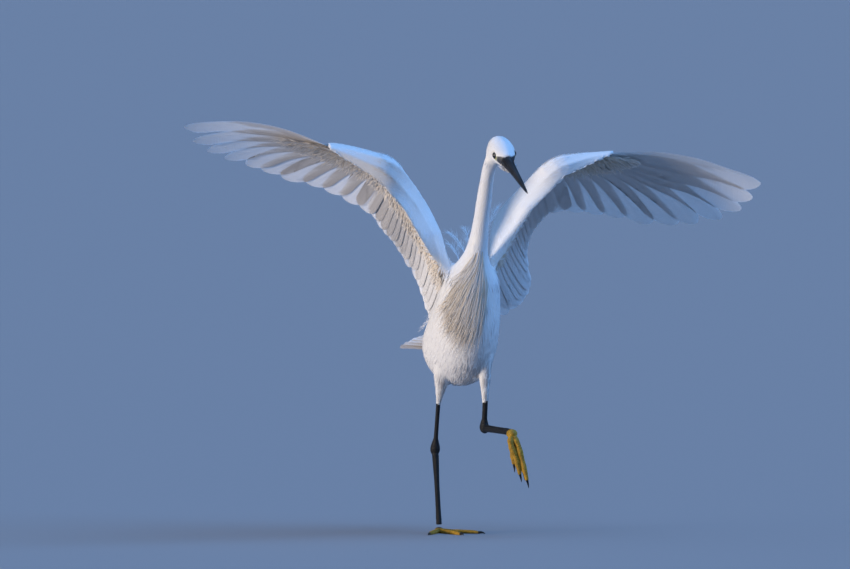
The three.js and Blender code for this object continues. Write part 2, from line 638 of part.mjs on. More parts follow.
const TAIL_ROOT = vec(MIDLINE_X, 58, 241.5);
const TAIL_DROP = radians(-3);
const TAIL_FEATHERS = 12;
const TAIL_SPREAD = radians(21);
const TAIL_LAP = 1.1;
const TAIL_ARCH = 6.5;
const TAIL_ROOF = radians(24);
const TAIL_DIRECTION = vec(0, Math.cos(TAIL_DROP), -Math.sin(TAIL_DROP));
const TAIL_UP = cross(vec(1, 0, 0), TAIL_DIRECTION);
const TAIL_STUMP = [[-6, 15, 10], [10, 17, 9], [26, 18, 7], [42, 18, 4.6], [54, 15, 2]];

function addTail() {
  const stump = loft(TAIL_STUMP.map(([back, wide, thick]) => (
    ringAt(along(TAIL_ROOT, TAIL_DIRECTION, back), vec(1, 0, 0), TAIL_UP, wide, thick, thick, 12))));
  const feathers = Array.from({ length: TAIL_FEATHERS }, (_, i) => {
    const across = (i - (TAIL_FEATHERS - 1) / 2) / ((TAIL_FEATHERS - 1) / 2);
    const order = Math.abs(i - TAIL_FEATHERS / 2 + 0.25);
    const way = TAIL_DIRECTION.clone().applyAxisAngle(TAIL_UP, -across * TAIL_SPREAD);
    const rootPoint = along(along(TAIL_ROOT, TAIL_DIRECTION, 16), vec(1, 0, 0), across * 11);
    const start = along(rootPoint, TAIL_UP, 3 - order * TAIL_LAP - TAIL_ARCH * across * across);
    const normal = TAIL_UP.clone().applyAxisAngle(way, across * TAIL_ROOF);
    const length = (TAIL_LENGTH - 16) * (1 - 0.05 * Math.abs(across));
    const path = (t) => along(along(start, way, length * t), TAIL_UP, -3 * t * t);
    return vane({ path, normal, wide: 17, outline: FLIGHT_OUTLINE, thick: 0.7 });
  });
  addNode("tail", cut(join([stump, ...feathers]), trunkForm(GAP)), WHITE);
}

// Legs

const FLOOR_Z = 0;
const LEGS = {
  right: {
    side: -1,
    knee: vec(4, -16, 226),
    thighEnd: vec(0, 4, 162),
    thighRadii: [19, 14.5, 7.2, 3.2],
    hock: vec(0, 18, 106),
    ankle: vec(0, 0, 11),
    palm: vec(0, 0, 3.2),
    toes: {
      inner: [vec(13.5, -10, 2.2), vec(29, -21.5, 2.1), vec(43, -33, 1.6)],
      middle: [vec(3.3, -15.6, 2.2), vec(7.5, -37, 2.1), vec(11.5, -59, 1.6)],
      outer: [vec(-8.5, -14, 2.2), vec(-18, -32, 2.1), vec(-26, -47, 1.6)],
      hind: [vec(4, 10.5, 2.2), vec(9, 22.5, 2.1), vec(14, 34, 1.6)],
    },
  },
  left: {
    side: 1,
    knee: vec(47, -46, 226),
    thighEnd: vec(50, -38, 166),
    thighRadii: [17, 11, 5.4, 3.2],
    hock: vec(51, -30, 134),
    ankle: vec(57.5, -124, 133),
    palm: vec(58, -131, 131),
    toes: {
      inner: [vec(54, -137, 119), vec(60, -139.5, 100), vec(66, -140, 80)],
      middle: [vec(64, -138, 118.5), vec(70, -141, 96), vec(75, -143, 72.5)],
      outer: [vec(66, -127, 119), vec(71, -127.5, 100), vec(74, -129, 82)],
      hind: [vec(55, -124, 120), vec(56, -121, 106), vec(58, -122, 92)],
    },
  },
};

function palmForm(leg, grow = 0) {
  const place = new THREE.Matrix4().compose(leg.palm, new THREE.Quaternion(), vec(1, 1.05, 0.75));
  return solidOf(new THREE.SphereGeometry(6 + grow, 8, 5), place);
}

function addLeg(name, leg) {
  const floor = beyond(vec(0, 0, FLOOR_Z), vec(0, 0, -1));
  const thigh = limb([leg.knee, leg.thighEnd], leg.thighRadii, { sides: 12, steps: 6 });
  addNode(`${name}_thigh`, cut(thigh, trunkForm(GAP)), WHITE);
  const down = toward(leg.thighEnd, leg.hock);
  const shinStart = along(leg.thighEnd, down, GAP);
  addNode(`${name}_shin`, limb([shinStart, along(leg.hock, down, -12)], [2.8, 2.7, 2.9], { sides: 10 }), BLACK);
  const hockTop = along(leg.hock, down, -12 + GAP);
  const shank = toward(leg.hock, leg.ankle);
  const knuckle = limb([hockTop, along(leg.hock, down, 3)], [3, 5.4, 5.6, 3.5], { sides: 8, steps: 3 });
  const tarsus = limb([along(leg.hock, shank, -2), leg.ankle], [4.2, 3.6, 3, 3, 3.6], { sides: 8, steps: 4 });
  addNode(`${name}_tarsus`, cut(join([knuckle, tarsus]), palmForm(leg, GAP)), BLACK);
  const footPieces = [palmForm(leg)];
  for (const [toeName, points] of Object.entries(leg.toes)) {
    const [near, middle, far] = points;
    const toeWay = toward(leg.palm, near);
    const clawWay = toward(middle, far);
    const toe = limb([leg.palm, near, middle, far], [2.6, 2.9, 2.6, 2.8, 2.3, 2.5, 1.8], { sides: 6, steps: 6 });
    const claw = limb(
      [along(far, clawWay, GAP), along(along(far, clawWay, CLAW_LENGTH * 0.5), UP, 0.4), along(along(far, clawWay, CLAW_LENGTH), UP, -1.3)],
      [1.6, 1.2, 0.35], { sides: 6, steps: 3 });
    footPieces.push(cut(toe, beyond(along(near, toeWay, -HALF_GAP), toeWay)));
    const behind = beyond(along(near, toeWay, HALF_GAP), toeWay.clone().negate());
    addNode(`${name}_toe_${toeName}`, cut(toe, behind, floor, claw), YELLOW);
    addNode(`${name}_claw_${toeName}`, cut(claw, floor), CLAW);
  }
  addNode(`${name}_foot`, cut(join(footPieces), floor), YELLOW);
}

const plumes = cut(join([...breastPlumes(), ...backPlumes()]), neckForm(GAP));
addNode("torso", join([trunkForm(), plumes]), WHITE);
addNode("neck_lower", neckForm(), WHITE);
addHead();
addTail();
for (const [name, wing] of Object.entries(WINGS)) {
  addWing(name, wing);
}
for (const [name, leg] of Object.entries(LEGS)) {
  addLeg(name, leg);
}

export default egret;
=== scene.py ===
"""The looks of a little egret at life size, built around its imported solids.

The bird stands on its right leg with both wings raised. Lengths are millimetres in the classes below
and become metres when a mesh is made. The bird faces -Y, its left side is +X and the floor is Z = 0.
"""

import logging
import math
from dataclasses import dataclass, field, fields
from enum import Enum
from typing import Callable, Optional, Sequence, Union

import bmesh
import bpy
import numpy as np
from mathutils import Matrix, Vector


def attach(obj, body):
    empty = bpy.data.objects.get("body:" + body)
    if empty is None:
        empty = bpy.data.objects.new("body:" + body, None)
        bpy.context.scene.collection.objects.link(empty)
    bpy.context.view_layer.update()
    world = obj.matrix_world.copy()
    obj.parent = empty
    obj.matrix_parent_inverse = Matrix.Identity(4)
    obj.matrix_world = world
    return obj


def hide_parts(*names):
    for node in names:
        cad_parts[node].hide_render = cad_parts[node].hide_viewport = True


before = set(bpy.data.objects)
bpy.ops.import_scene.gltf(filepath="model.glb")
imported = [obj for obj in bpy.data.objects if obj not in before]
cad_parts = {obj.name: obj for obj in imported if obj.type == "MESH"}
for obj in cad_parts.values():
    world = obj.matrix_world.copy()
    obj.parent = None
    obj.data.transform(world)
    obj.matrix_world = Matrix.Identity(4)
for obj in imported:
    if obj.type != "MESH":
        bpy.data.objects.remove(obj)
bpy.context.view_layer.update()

MM = 0.001
LOG = logging.getLogger("egret")

Array = np.ndarray
Number = Union[float, "Term"]
Triple = tuple[float, float, float]
Material, Mesh, Object = bpy.types.Material, bpy.types.Mesh, bpy.types.Object
Node, Socket = bpy.types.Node, bpy.types.NodeSocket

# Feather numbers at the elbow and at the wrist.
ELBOW, WRIST = 3.5, 15.5
# The size of one scattered shape's patch on the map.
PATCH = 0.003


class Side(Enum):
    """The bird's own sides, as the sign of X."""

    RIGHT = -1
    LEFT = 1


class Slot(Enum):
    """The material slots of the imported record."""

    PLUMAGE = "white_plumage"
    LEG = "black_leg_scales"
    FOOT = "yellow_foot_skin"
    CLAW = "black_claw"
    BILL = "black_bill"
    EYE = "pale_yellow_eye"


class Element(Enum):
    """The small shapes that a scatter tree can repeat."""

    LOCK = "lock"
    SCUTE = "scute"


# Numbers and curves


def unit(v: Array) -> Array:
    """Returns vectors scaled to length one."""
    return v / np.maximum(np.linalg.norm(v, axis=-1, keepdims=True), 1e-12)


def mix(a: Array, b: Array, t: Union[float, Array]) -> Array:
    """Returns the points between a and b at shares t."""
    share = np.asarray(t, float)[..., None]
    return a * (1 - share) + b * share


def ramp(low: float, high: float, x: Array) -> Array:
    """Returns a smooth 0 to 1 step of x between low and high."""
    t = np.clip((np.asarray(x, float) - low) / (high - low), 0, 1)
    return t * t * (3 - 2 * t)


def abreast(*parts: Union[float, Array]) -> Array:
    """Returns numbers side by side, one row for each."""
    return np.stack(np.broadcast_arrays(*parts), -1)


def circle(count: int) -> Array:
    """Returns angles spread evenly over one whole turn."""
    return np.linspace(0, 2 * math.pi, count, endpoint=False)


def wheel(first: Array, second: Array, count: int) -> Array:
    """Returns unit spokes that turn from a first way to a second, for one pair of ways or for many."""
    angle = circle(count)[:, None]
    return np.cos(angle) * first[..., None, :] + np.sin(angle) * second[..., None, :]


def smooth_value(values: Sequence[float], place: Array) -> Array:
    """Reads a list of numbers at fractional places, on a smooth curve.

    Args:
        values: the numbers at places 0, 1, 2 and so on.
        place: where to read.

    Returns:
        One number for each place.
    """
    v = np.asarray(values, float)
    last = len(v) - 1
    x = np.clip(place, 0, last)
    i = np.minimum(np.floor(x).astype(int), last - 1)
    w = x - i
    a, b = v[i], v[i + 1]
    before, after = v[np.maximum(i - 1, 0)], v[np.minimum(i + 2, last)]
    bend = 2 * before - 5 * a + 4 * b - after + w * (3 * (a - b) + after - before)
    return a + 0.5 * w * (b - before + w * bend)


class Spline:
    """A centripetal Catmull-Rom curve through a few points."""

    def __init__(self, points: Sequence[Sequence[float]]) -> None:
        """Keeps the points, with one more beyond each end."""
        p = np.array(points, float)
        self.count = len(p)
        self.points = np.vstack([2 * p[0] - p[1], p, 2 * p[-1] - p[-2]])

    def at(self, t: Array) -> Array:
        """Returns the points at shares t of the way, counted in whole stretches."""
        place = np.clip(np.asarray(t, float), 0, 1) * (self.count - 1)
        i = np.minimum(np.floor(place).astype(int), self.count - 2)
        w = (place - i)[..., None]
        p0, p1, p2, p3 = (self.points[i + k] for k in range(4))
        d0, d1, d2 = (np.maximum(np.linalg.norm(b - a, axis=-1, keepdims=True), 1e-8) ** 0.5
                      for a, b in ((p0, p1), (p1, p2), (p2, p3)))
        t1 = ((p1 - p0) / d0 - (p2 - p0) / (d0 + d1) + (p2 - p1) / d1) * d1
        t2 = ((p2 - p1) / d1 - (p3 - p1) / (d1 + d2) + (p3 - p2) / d2) * d1
        return p1 + w * (t1 + w * (3 * (p2 - p1) - 2 * t1 - t2 + w * (2 * (p1 - p2) + t1 + t2)))

    def tangent(self, t: Array) -> Array:
        """Returns the unit directions at shares t."""
        step = 1e-4
        t = np.asarray(t, float)
        return unit(self.at(np.minimum(t + step, 1)) - self.at(np.maximum(t - step, 0)))


# Meshes


def new_object(name: str, data: bpy.types.ID) -> Object:
    """Returns a new object in the scene."""
    made = bpy.data.objects.new(name, data)
    bpy.context.scene.collection.objects.link(made)
    return made


def read(parts: bpy.types.bpy_prop_collection, key: str, width: int, kind: type = np.float32) -> Array:
    """Returns one property of a mesh's parts, one row for each part."""
    flat = np.empty(len(parts) * width, kind)
    parts.foreach_get(key, flat)
    return flat.reshape(-1, width)


def read_points(mesh: Mesh) -> Array:
    """Returns a mesh's points in millimetres."""
    return read(mesh.vertices, "co", 3).astype(float) / MM


def write_points(mesh: Mesh, points: Array) -> None:
    """Places a mesh's points, given in millimetres."""
    mesh.vertices.foreach_set("co", (points * MM).astype(np.float32).ravel())


def write_tint(layer: bpy.types.Attribute, tint: Array) -> None:
    """Fills a colour layer with warmth, shade and a random number."""
    rgba = np.concatenate([tint, np.ones((len(tint), 1))], axis=1)
    layer.data.foreach_set("color", rgba.astype(np.float32).ravel())


@dataclass
class Surface:
    """Quads that wait to become one mesh, with their map and their tint."""

    points: list[Array] = field(default_factory=list)
    quads: list[Array] = field(default_factory=list)
    maps: list[Array] = field(default_factory=list)
    tints: list[Array] = field(default_factory=list)
    vanes: list[Array] = field(default_factory=list)
    borders: list[Array] = field(default_factory=list)
    count: int = 0

    def add(self, points: Array, quads: Array, tint: Array, uv: Optional[Array] = None,
            vane: Optional[Array] = None, border: Optional[Array] = None) -> None:
        """Adds one batch.

        Args:
            points: places in millimetres, one row each.
            quads: four point numbers a row, counted inside the batch.
            tint: warmth, shade and a random number for each point.
            uv: a place on the map for each corner of each quad.
            vane: how far across a feather and how far along it, for each point.
            border: whether each point is on the rim of a leaf, where its two sides meet sharply.
        """
        self.points.append(points)
        self.quads.append(quads + self.count)
        self.maps.append(np.zeros((len(quads), 4, 2)) if uv is None else uv)
        self.tints.append(tint)
        self.vanes.append(np.zeros((len(points), 2)) if vane is None else vane)
        self.borders.append(np.zeros(len(points), bool) if border is None else border)
        self.count += len(points)

    def build(self, name: str, material: Material) -> Object:
        """Makes the mesh object.

        Args:
            name: the piece's name.
            material: its only material.

        Returns:
            The object, at the origin.
        """
        quads = np.concatenate(self.quads)
        mesh = bpy.data.meshes.new(name)
        mesh.vertices.add(self.count)
        write_points(mesh, np.concatenate(self.points))
        mesh.loops.add(quads.size)
        mesh.loops.foreach_set("vertex_index", quads.astype(np.int32).ravel())
        mesh.polygons.add(len(quads))
        mesh.polygons.foreach_set("loop_start", np.arange(0, quads.size, 4, dtype=np.int32))
        mesh.polygons.foreach_set("use_smooth", np.ones(len(quads), bool))
        mesh.update(calc_edges=True)
        border = np.concatenate(self.borders)
        sharp = mesh.attributes.new("sharp_edge", "BOOLEAN", "EDGE")
        sharp.data.foreach_set("value", border[read(mesh.edges, "vertices", 2, np.int32)].all(1))
        layer = mesh.uv_layers.new(name="OFBake")
        layer.data.foreach_set("uv", np.concatenate(self.maps).astype(np.float32).ravel())
        write_tint(mesh.color_attributes.new("Tint", "FLOAT_COLOR", "POINT"), np.concatenate(self.tints))
        vane = np.pad(np.concatenate(self.vanes), ((0, 0), (0, 1)))
        layer = mesh.attributes.new("Vane", "FLOAT_VECTOR", "POINT")
        layer.data.foreach_set("vector", vane.astype(np.float32).ravel())
        mesh.materials.append(material)
        return new_object(name, mesh)

    def solid(self, name: str, material: Material, weld: float = 2e-6) -> Object:
        """Makes a mesh object that has no map, with its doubles welded and its faces outwards."""
        made = self.build(name, material)
        made.data.uv_layers.remove(made.data.uv_layers["OFBake"])
        tidy_mesh(made.data, weld)
        return made


def grid_quads(rows: int, columns: int, closed: bool = False) -> Array:
    """Returns the quads of a grid of points, row by row, that may close on itself sideways."""
    across = columns if closed else columns - 1
    r, c = np.meshgrid(np.arange(rows - 1), np.arange(across), indexing="ij")
    here, below, step = r * columns, (r + 1) * columns, (c + 1) % columns
    return np.stack([here + c, here + step, below + step, below + c], -1).reshape(-1, 4)


def tube(rings: Array) -> tuple[Array, Array]:
    """Skins rings of points into a tube that closes on a point at each end.

    Args:
        rings: points as ring, point, xyz.

    Returns:
        The points, and quads that face outwards where the rings turn clockwise along the tube.
    """
    ends = [np.repeat(rings[k].mean(0)[None, None], rings.shape[1], axis=1) for k in (0, -1)]
    rings = np.concatenate([ends[0], rings, ends[1]])
    return rings.reshape(-1, 3), grid_quads(len(rings), rings.shape[1], closed=True)


def tube_object(name: str, parts: Sequence[Array], material: Material,
                tint: Sequence[float] = (0, 0, 0)) -> Object:
    """Makes one object of closed tubes, with welded ends and outward faces.

    Args:
        name: the piece's name.
        parts: rings of each tube.
        material: its material.
        tint: the same warmth, shade and random number everywhere.

    Returns:
        The object.
    """
    surface = Surface()
    for rings in parts:
        points, quads = tube(rings)
        surface.add(points, quads, np.tile(np.asarray(tint, float), (len(points), 1)))
    return surface.solid(name, material)


def tidy_mesh(mesh: Mesh, distance: float) -> None:
    """Welds doubles, drops faces of no area and turns every face outwards."""
    bm = bmesh.new()
    bm.from_mesh(mesh)
    bmesh.ops.remove_doubles(bm, verts=bm.verts, dist=distance)
    bmesh.ops.dissolve_degenerate(bm, edges=bm.edges, dist=distance / 10)
    bmesh.ops.recalc_face_normals(bm, faces=bm.faces)
    bm.to_mesh(mesh)
    bm.free()
    mesh.update()


def applied(made: Object) -> Object:
    """Turns an object with modifiers into a plain mesh and removes the modifiers."""
    bpy.context.view_layer.update()
    graph = bpy.context.evaluated_depsgraph_get()
    mesh = bpy.data.meshes.new_from_object(made.evaluated_get(graph), depsgraph=graph)
    old = made.data
    made.modifiers.clear()
    made.data = mesh
    bpy.data.meshes.remove(old)
    mesh.name = made.name
    return made


def dye(mesh: Mesh, material: Material, warmth: Array, shade: Array) -> None:
    """Gives a melted mesh its material and its tint back."""
    for layer in list(mesh.color_attributes):
        mesh.color_attributes.remove(layer)
    write_tint(mesh.color_attributes.new("Tint", "FLOAT_COLOR", "POINT"), abreast(warmth, shade, 0.0))
    mesh.materials.clear()
    mesh.materials.append(material)
    mesh.update()


def finish_piece(made: Object, slot: Slot, *nodes: str) -> Object:
    """Rides a piece on the body, hides the imported nodes that it stands for and logs its triangle count."""
    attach(made, "root")
    if nodes:
        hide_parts(*nodes)
    made.data.calc_loop_triangles()
    LOG.info("%s: %d triangles", made.name, len(made.data.loop_triangles))
    return made


# Nodes


class Graph:
    """Adds nodes to a shader or geometry tree."""

    def __init__(self, tree: bpy.types.NodeTree) -> None:
        """Keeps the tree."""
        self.tree = tree

    def node(self, kind: str, settings: Optional[dict] = None, inputs: Optional[dict] = None
             ) -> Node:
        """Adds one node.

        Args:
            kind: the node's type.
            settings: its properties, set first.
            inputs: values or links of its sockets, by name or number.

        Returns:
            The node.
        """
        made = self.tree.nodes.new(kind)
        for key, value in (settings or {}).items():
            setattr(made, key, value)
        self.fill(made, inputs or {})
        return made

    def fill(self, node: Node, inputs: dict) -> None:
        """Sets or links sockets of a node, by name or number."""
        for key, value in inputs.items():
            value = value.socket if isinstance(value, Term) else value
            if isinstance(value, Socket):
                self.tree.links.new(value, node.inputs[key])
            else:
                node.inputs[key].default_value = value

    def noise(self, where: Socket, scale: float, detail: float, roughness: float = 0.5
              ) -> "Term":
        """Returns a noise about one half."""
        return self.term(self.node("ShaderNodeTexNoise", inputs={
            "Vector": where, "Scale": scale, "Detail": detail, "Roughness": roughness}), "Fac")

    def where(self) -> Socket:
        """Returns the place on the object."""
        return self.node("ShaderNodeTexCoord").outputs["Object"]

    def tint(self) -> tuple["Term", ...]:
        """Returns the warmth, the shade and the random number that a mesh carries."""
        layer = self.node("ShaderNodeAttribute", {"attribute_name": "Tint"})
        parts = self.node("ShaderNodeSeparateColor", inputs={0: layer.outputs["Color"]})
        return tuple(self.term(parts, k) for k in range(3))

    def vector(self, x: object, y: object, z: object) -> Socket:
        """Returns three numbers as one vector."""
        return self.node("ShaderNodeCombineXYZ", inputs={0: x, 1: y, 2: z}).outputs[0]

    def parts(self, vector: Socket) -> tuple["Term", ...]:
        """Returns the three numbers of a vector."""
        split = self.node("ShaderNodeSeparateXYZ", inputs={0: vector})
        return tuple(self.term(split, k) for k in range(3))

    def scaled(self, vector: object, scale: object) -> Socket:
        """Returns a vector or a colour times a number."""
        made = self.node("ShaderNodeVectorMath", {"operation": "SCALE"}, {0: vector, "Scale": scale})
        return made.outputs["Vector"]

    def blend(self, share: Number, a: object, b: object) -> Socket:
        """Returns the colour between a and b at a share. A colour is a socket or three numbers."""
        a, b = ((*value, 1) if isinstance(value, tuple) else value for value in (a, b))
        return self.node("ShaderNodeMix", {"data_type": "RGBA"}, {"Factor": share, 6: a, 7: b}).outputs[2]

    def bump(self, strength: float, distance: float, height: "Term") -> Socket:
        """Returns the normal of a surface with a fine relief."""
        return self.node("ShaderNodeBump", inputs={
            "Strength": strength, "Distance": distance, "Height": height}).outputs["Normal"]

    def term(self, node: Node, output: Union[int, str] = 0) -> "Term":
        """Returns a node's output as a number to reckon with."""
        return Term(self, node.outputs[output])


class Term:
    """A number in a node tree. An expression on terms adds the Math nodes that work it out."""

    def __init__(self, graph: Graph, socket: Socket) -> None:
        """Keeps the tree and the socket."""
        self.graph = graph
        self.socket = socket

    def math(self, operation: str, *others: Number) -> "Term":
        """Returns the result of one Math node with this as its first value."""
        inputs = {0: self, **{i + 1: other for i, other in enumerate(others)}}
        return self.graph.term(self.graph.node("ShaderNodeMath", {"operation": operation}, inputs))

    def _swapped(self, operation: str, other: float) -> "Term":
        """Returns the result of one Math node with a plain number first."""
        made = self.graph.node("ShaderNodeMath", {"operation": operation}, {0: other, 1: self})
        return self.graph.term(made)

    def __add__(self, other: Number) -> "Term":
        """Adds."""
        return self.math("ADD", other)

    __radd__ = __add__

    def __sub__(self, other: Number) -> "Term":
        """Subtracts."""
        return self.math("SUBTRACT", other)

    def __rsub__(self, other: float) -> "Term":
        """Subtracts from a plain number."""
        return self._swapped("SUBTRACT", other)

    def __mul__(self, other: Number) -> "Term":
        """Multiplies."""
        return self.math("MULTIPLY", other)

    __rmul__ = __mul__

    def __truediv__(self, other: Number) -> "Term":
        """Divides."""
        return self.math("DIVIDE", other)

    def __rtruediv__(self, other: float) -> "Term":
        """Divides a plain number."""
        return self._swapped("DIVIDE", other)

    def power(self, other: Number) -> "Term":
        """Raises to a power."""
        return self.math("POWER", other)

    def between(self, low: float, high: float) -> "Term":
        """Returns a smooth 0 to 1 step between two values."""
        made = self.graph.node("ShaderNodeMapRange", {"interpolation_type": "SMOOTHSTEP"},
                               {"Value": self, "From Min": low, "From Max": high})
        return self.graph.term(made)


# Finishes


@dataclass(frozen=True)
class Plumage:
    """White feather, which warms to cream and darkens to brown-grey where its tint says so: the cream is
    partly painted warm shade, the brown-grey mostly painted shade.
    """

    name: str
    white: Triple = (0.86, 0.86, 0.87)
    # Cream: partly the breast plumes' own tone, partly painted warm shade under the wings and low on the
    # trunk.
    warm: Triple = (0.66, 0.53, 0.36)
    # Brown-grey: mostly painted shade, where feathers overlap, under the wings, on the tail and low on the
    # belly.
    shade: Triple = (0.34, 0.30, 0.27)
    roughness: float = 0.72
    grain_scale: float = 420.0
    bump: float = 0.25
    barbs: float = 0.0
    barb_slope: float = 11.0
    glow: float = 0.15

    def make(self) -> Material:
        """Returns the material."""
        made, graph, shader = new_material(self.name)
        warmth, shade, chance = graph.tint()
        where = graph.where()
        mottle = graph.noise(where, 38.0, 3.0)
        grain = graph.noise(where, self.grain_scale, 2.0)
        value = 0.96 + chance * 0.04 + (mottle - 0.5) * 0.04
        if self.barbs:
            vane = graph.node("ShaderNodeAttribute", {"attribute_name": "Vane"})
            across, along, _ = graph.parts(vane.outputs["Vector"])
            across = across.math("ABSOLUTE")
            slope = graph.vector((along - across * self.barb_slope) * 1.1, across * 0.5, chance * 40.0)
            grain = graph.noise(slope, 1.0, 3.0, 0.6)
            value = value + (grain - 0.5) * self.barbs
        cream = graph.blend(warmth, graph.scaled(self.white, value), self.warm)
        graph.fill(shader, {
            "Base Color": graph.blend(shade, cream, self.shade),
            "Normal": graph.bump(self.bump, 0.0006, grain),
            "Roughness": self.roughness,
            "Sheen Weight": 0.12,
            "Sheen Roughness": 0.5,
            "Subsurface Weight": self.glow,
            "Subsurface Radius": (1.0, 1.0, 1.0),
            "Subsurface Scale": 0.002,
        })
        return made


@dataclass(frozen=True)
class BareSkin:
    """The skin under the coat, yellow green where its tint says that it is bare."""

    name: str
    hidden: Triple = (0.78, 0.77, 0.75)
    bare: Triple = (0.34, 0.35, 0.12)
    dark: Triple = (0.028, 0.032, 0.042)

    def make(self) -> Material:
        """Returns the material."""
        made, graph, shader = new_material(self.name)
        warmth, shade, _ = graph.tint()
        folds = graph.noise(graph.where(), 900.0, 4.0)
        skin = graph.blend(warmth, self.hidden, self.bare)
        graph.fill(shader, {"Base Color": graph.blend(shade, skin, self.dark),
                            "Normal": graph.bump(0.4, 0.0004, folds), "Roughness": 0.55})
        return made


@dataclass(frozen=True)
class Horn:
    """Hard horn or scaly skin: two colours in streaks or blotches, with fine bump."""

    name: str
    dark: Triple
    light: Triple
    stretch: Triple
    roughness: float
    bump: float = 0.3
    cells: float = 0.0
    warm: Triple = (0.52, 0.46, 0.20)
    black: Triple = (0.012, 0.012, 0.012)

    def make(self) -> Material:
        """Returns the material."""
        made, graph, shader = new_material(self.name)
        where = graph.where()
        placed = graph.node("ShaderNodeMapping", inputs={"Vector": where, "Scale": self.stretch})
        streak = graph.noise(placed.outputs["Vector"], 1.0, 5.0)
        warmth, shade, _ = graph.tint()
        colour = graph.blend(streak.between(0.35, 0.7), self.dark, self.light)
        colour = graph.blend(warmth, colour, self.warm)
        colour = graph.blend(shade, colour, self.black)
        height = streak
        if self.cells:
            scale = graph.node("ShaderNodeTexVoronoi", {"feature": "DISTANCE_TO_EDGE"}, {
                "Vector": where, "Scale": self.cells})
            height = streak * 0.25 + graph.term(scale, "Distance").between(0.0, 0.25)
        graph.fill(shader, {"Base Color": colour, "Normal": graph.bump(self.bump, 0.0004, height),
                            "Roughness": self.roughness + (streak - 0.5) * 0.2, "Specular IOR Level": 0.3})
        return made


@dataclass(frozen=True)
class Eyeball:
    """A glossy eye whose rings lie by the angle from its pupil's middle, kept in the tint's shade."""

    name: str
    iris: Triple
    pupil: float
    rim: float
    black: Triple = (0.004, 0.004, 0.004)
    edge: Triple = (0.02, 0.018, 0.012)

    def make(self) -> Material:
        """Returns the material."""
        made, graph, shader = new_material(self.name)
        angle = graph.tint()[1]
        flecks = graph.noise(graph.where(), 1600.0, 3.0)
        iris = graph.scaled(self.iris, 0.7 + flecks * 0.6)
        inner = graph.blend(angle.between(self.pupil - 0.02, self.pupil + 0.02), self.black, iris)
        outer = graph.blend(angle.between(self.rim - 0.04, self.rim + 0.03), inner, self.edge)
        graph.fill(shader, {"Base Color": outer, "Roughness": 0.3,
                            "Coat Weight": 0.2, "Coat Roughness": 0.12})
        return made


def new_material(name: str) -> tuple[Material, Graph, Node]:
    """Returns an empty material, its graph and its Principled shader."""
    made = bpy.data.materials.new(name)
    made.use_nodes = True
    made.node_tree.nodes.clear()
    graph = Graph(made.node_tree)
    shader = graph.node("ShaderNodeBsdfPrincipled")
    graph.node("ShaderNodeOutputMaterial", inputs={"Surface": shader.outputs["BSDF"]})
    return made, graph, shader


# Scattered small shapes


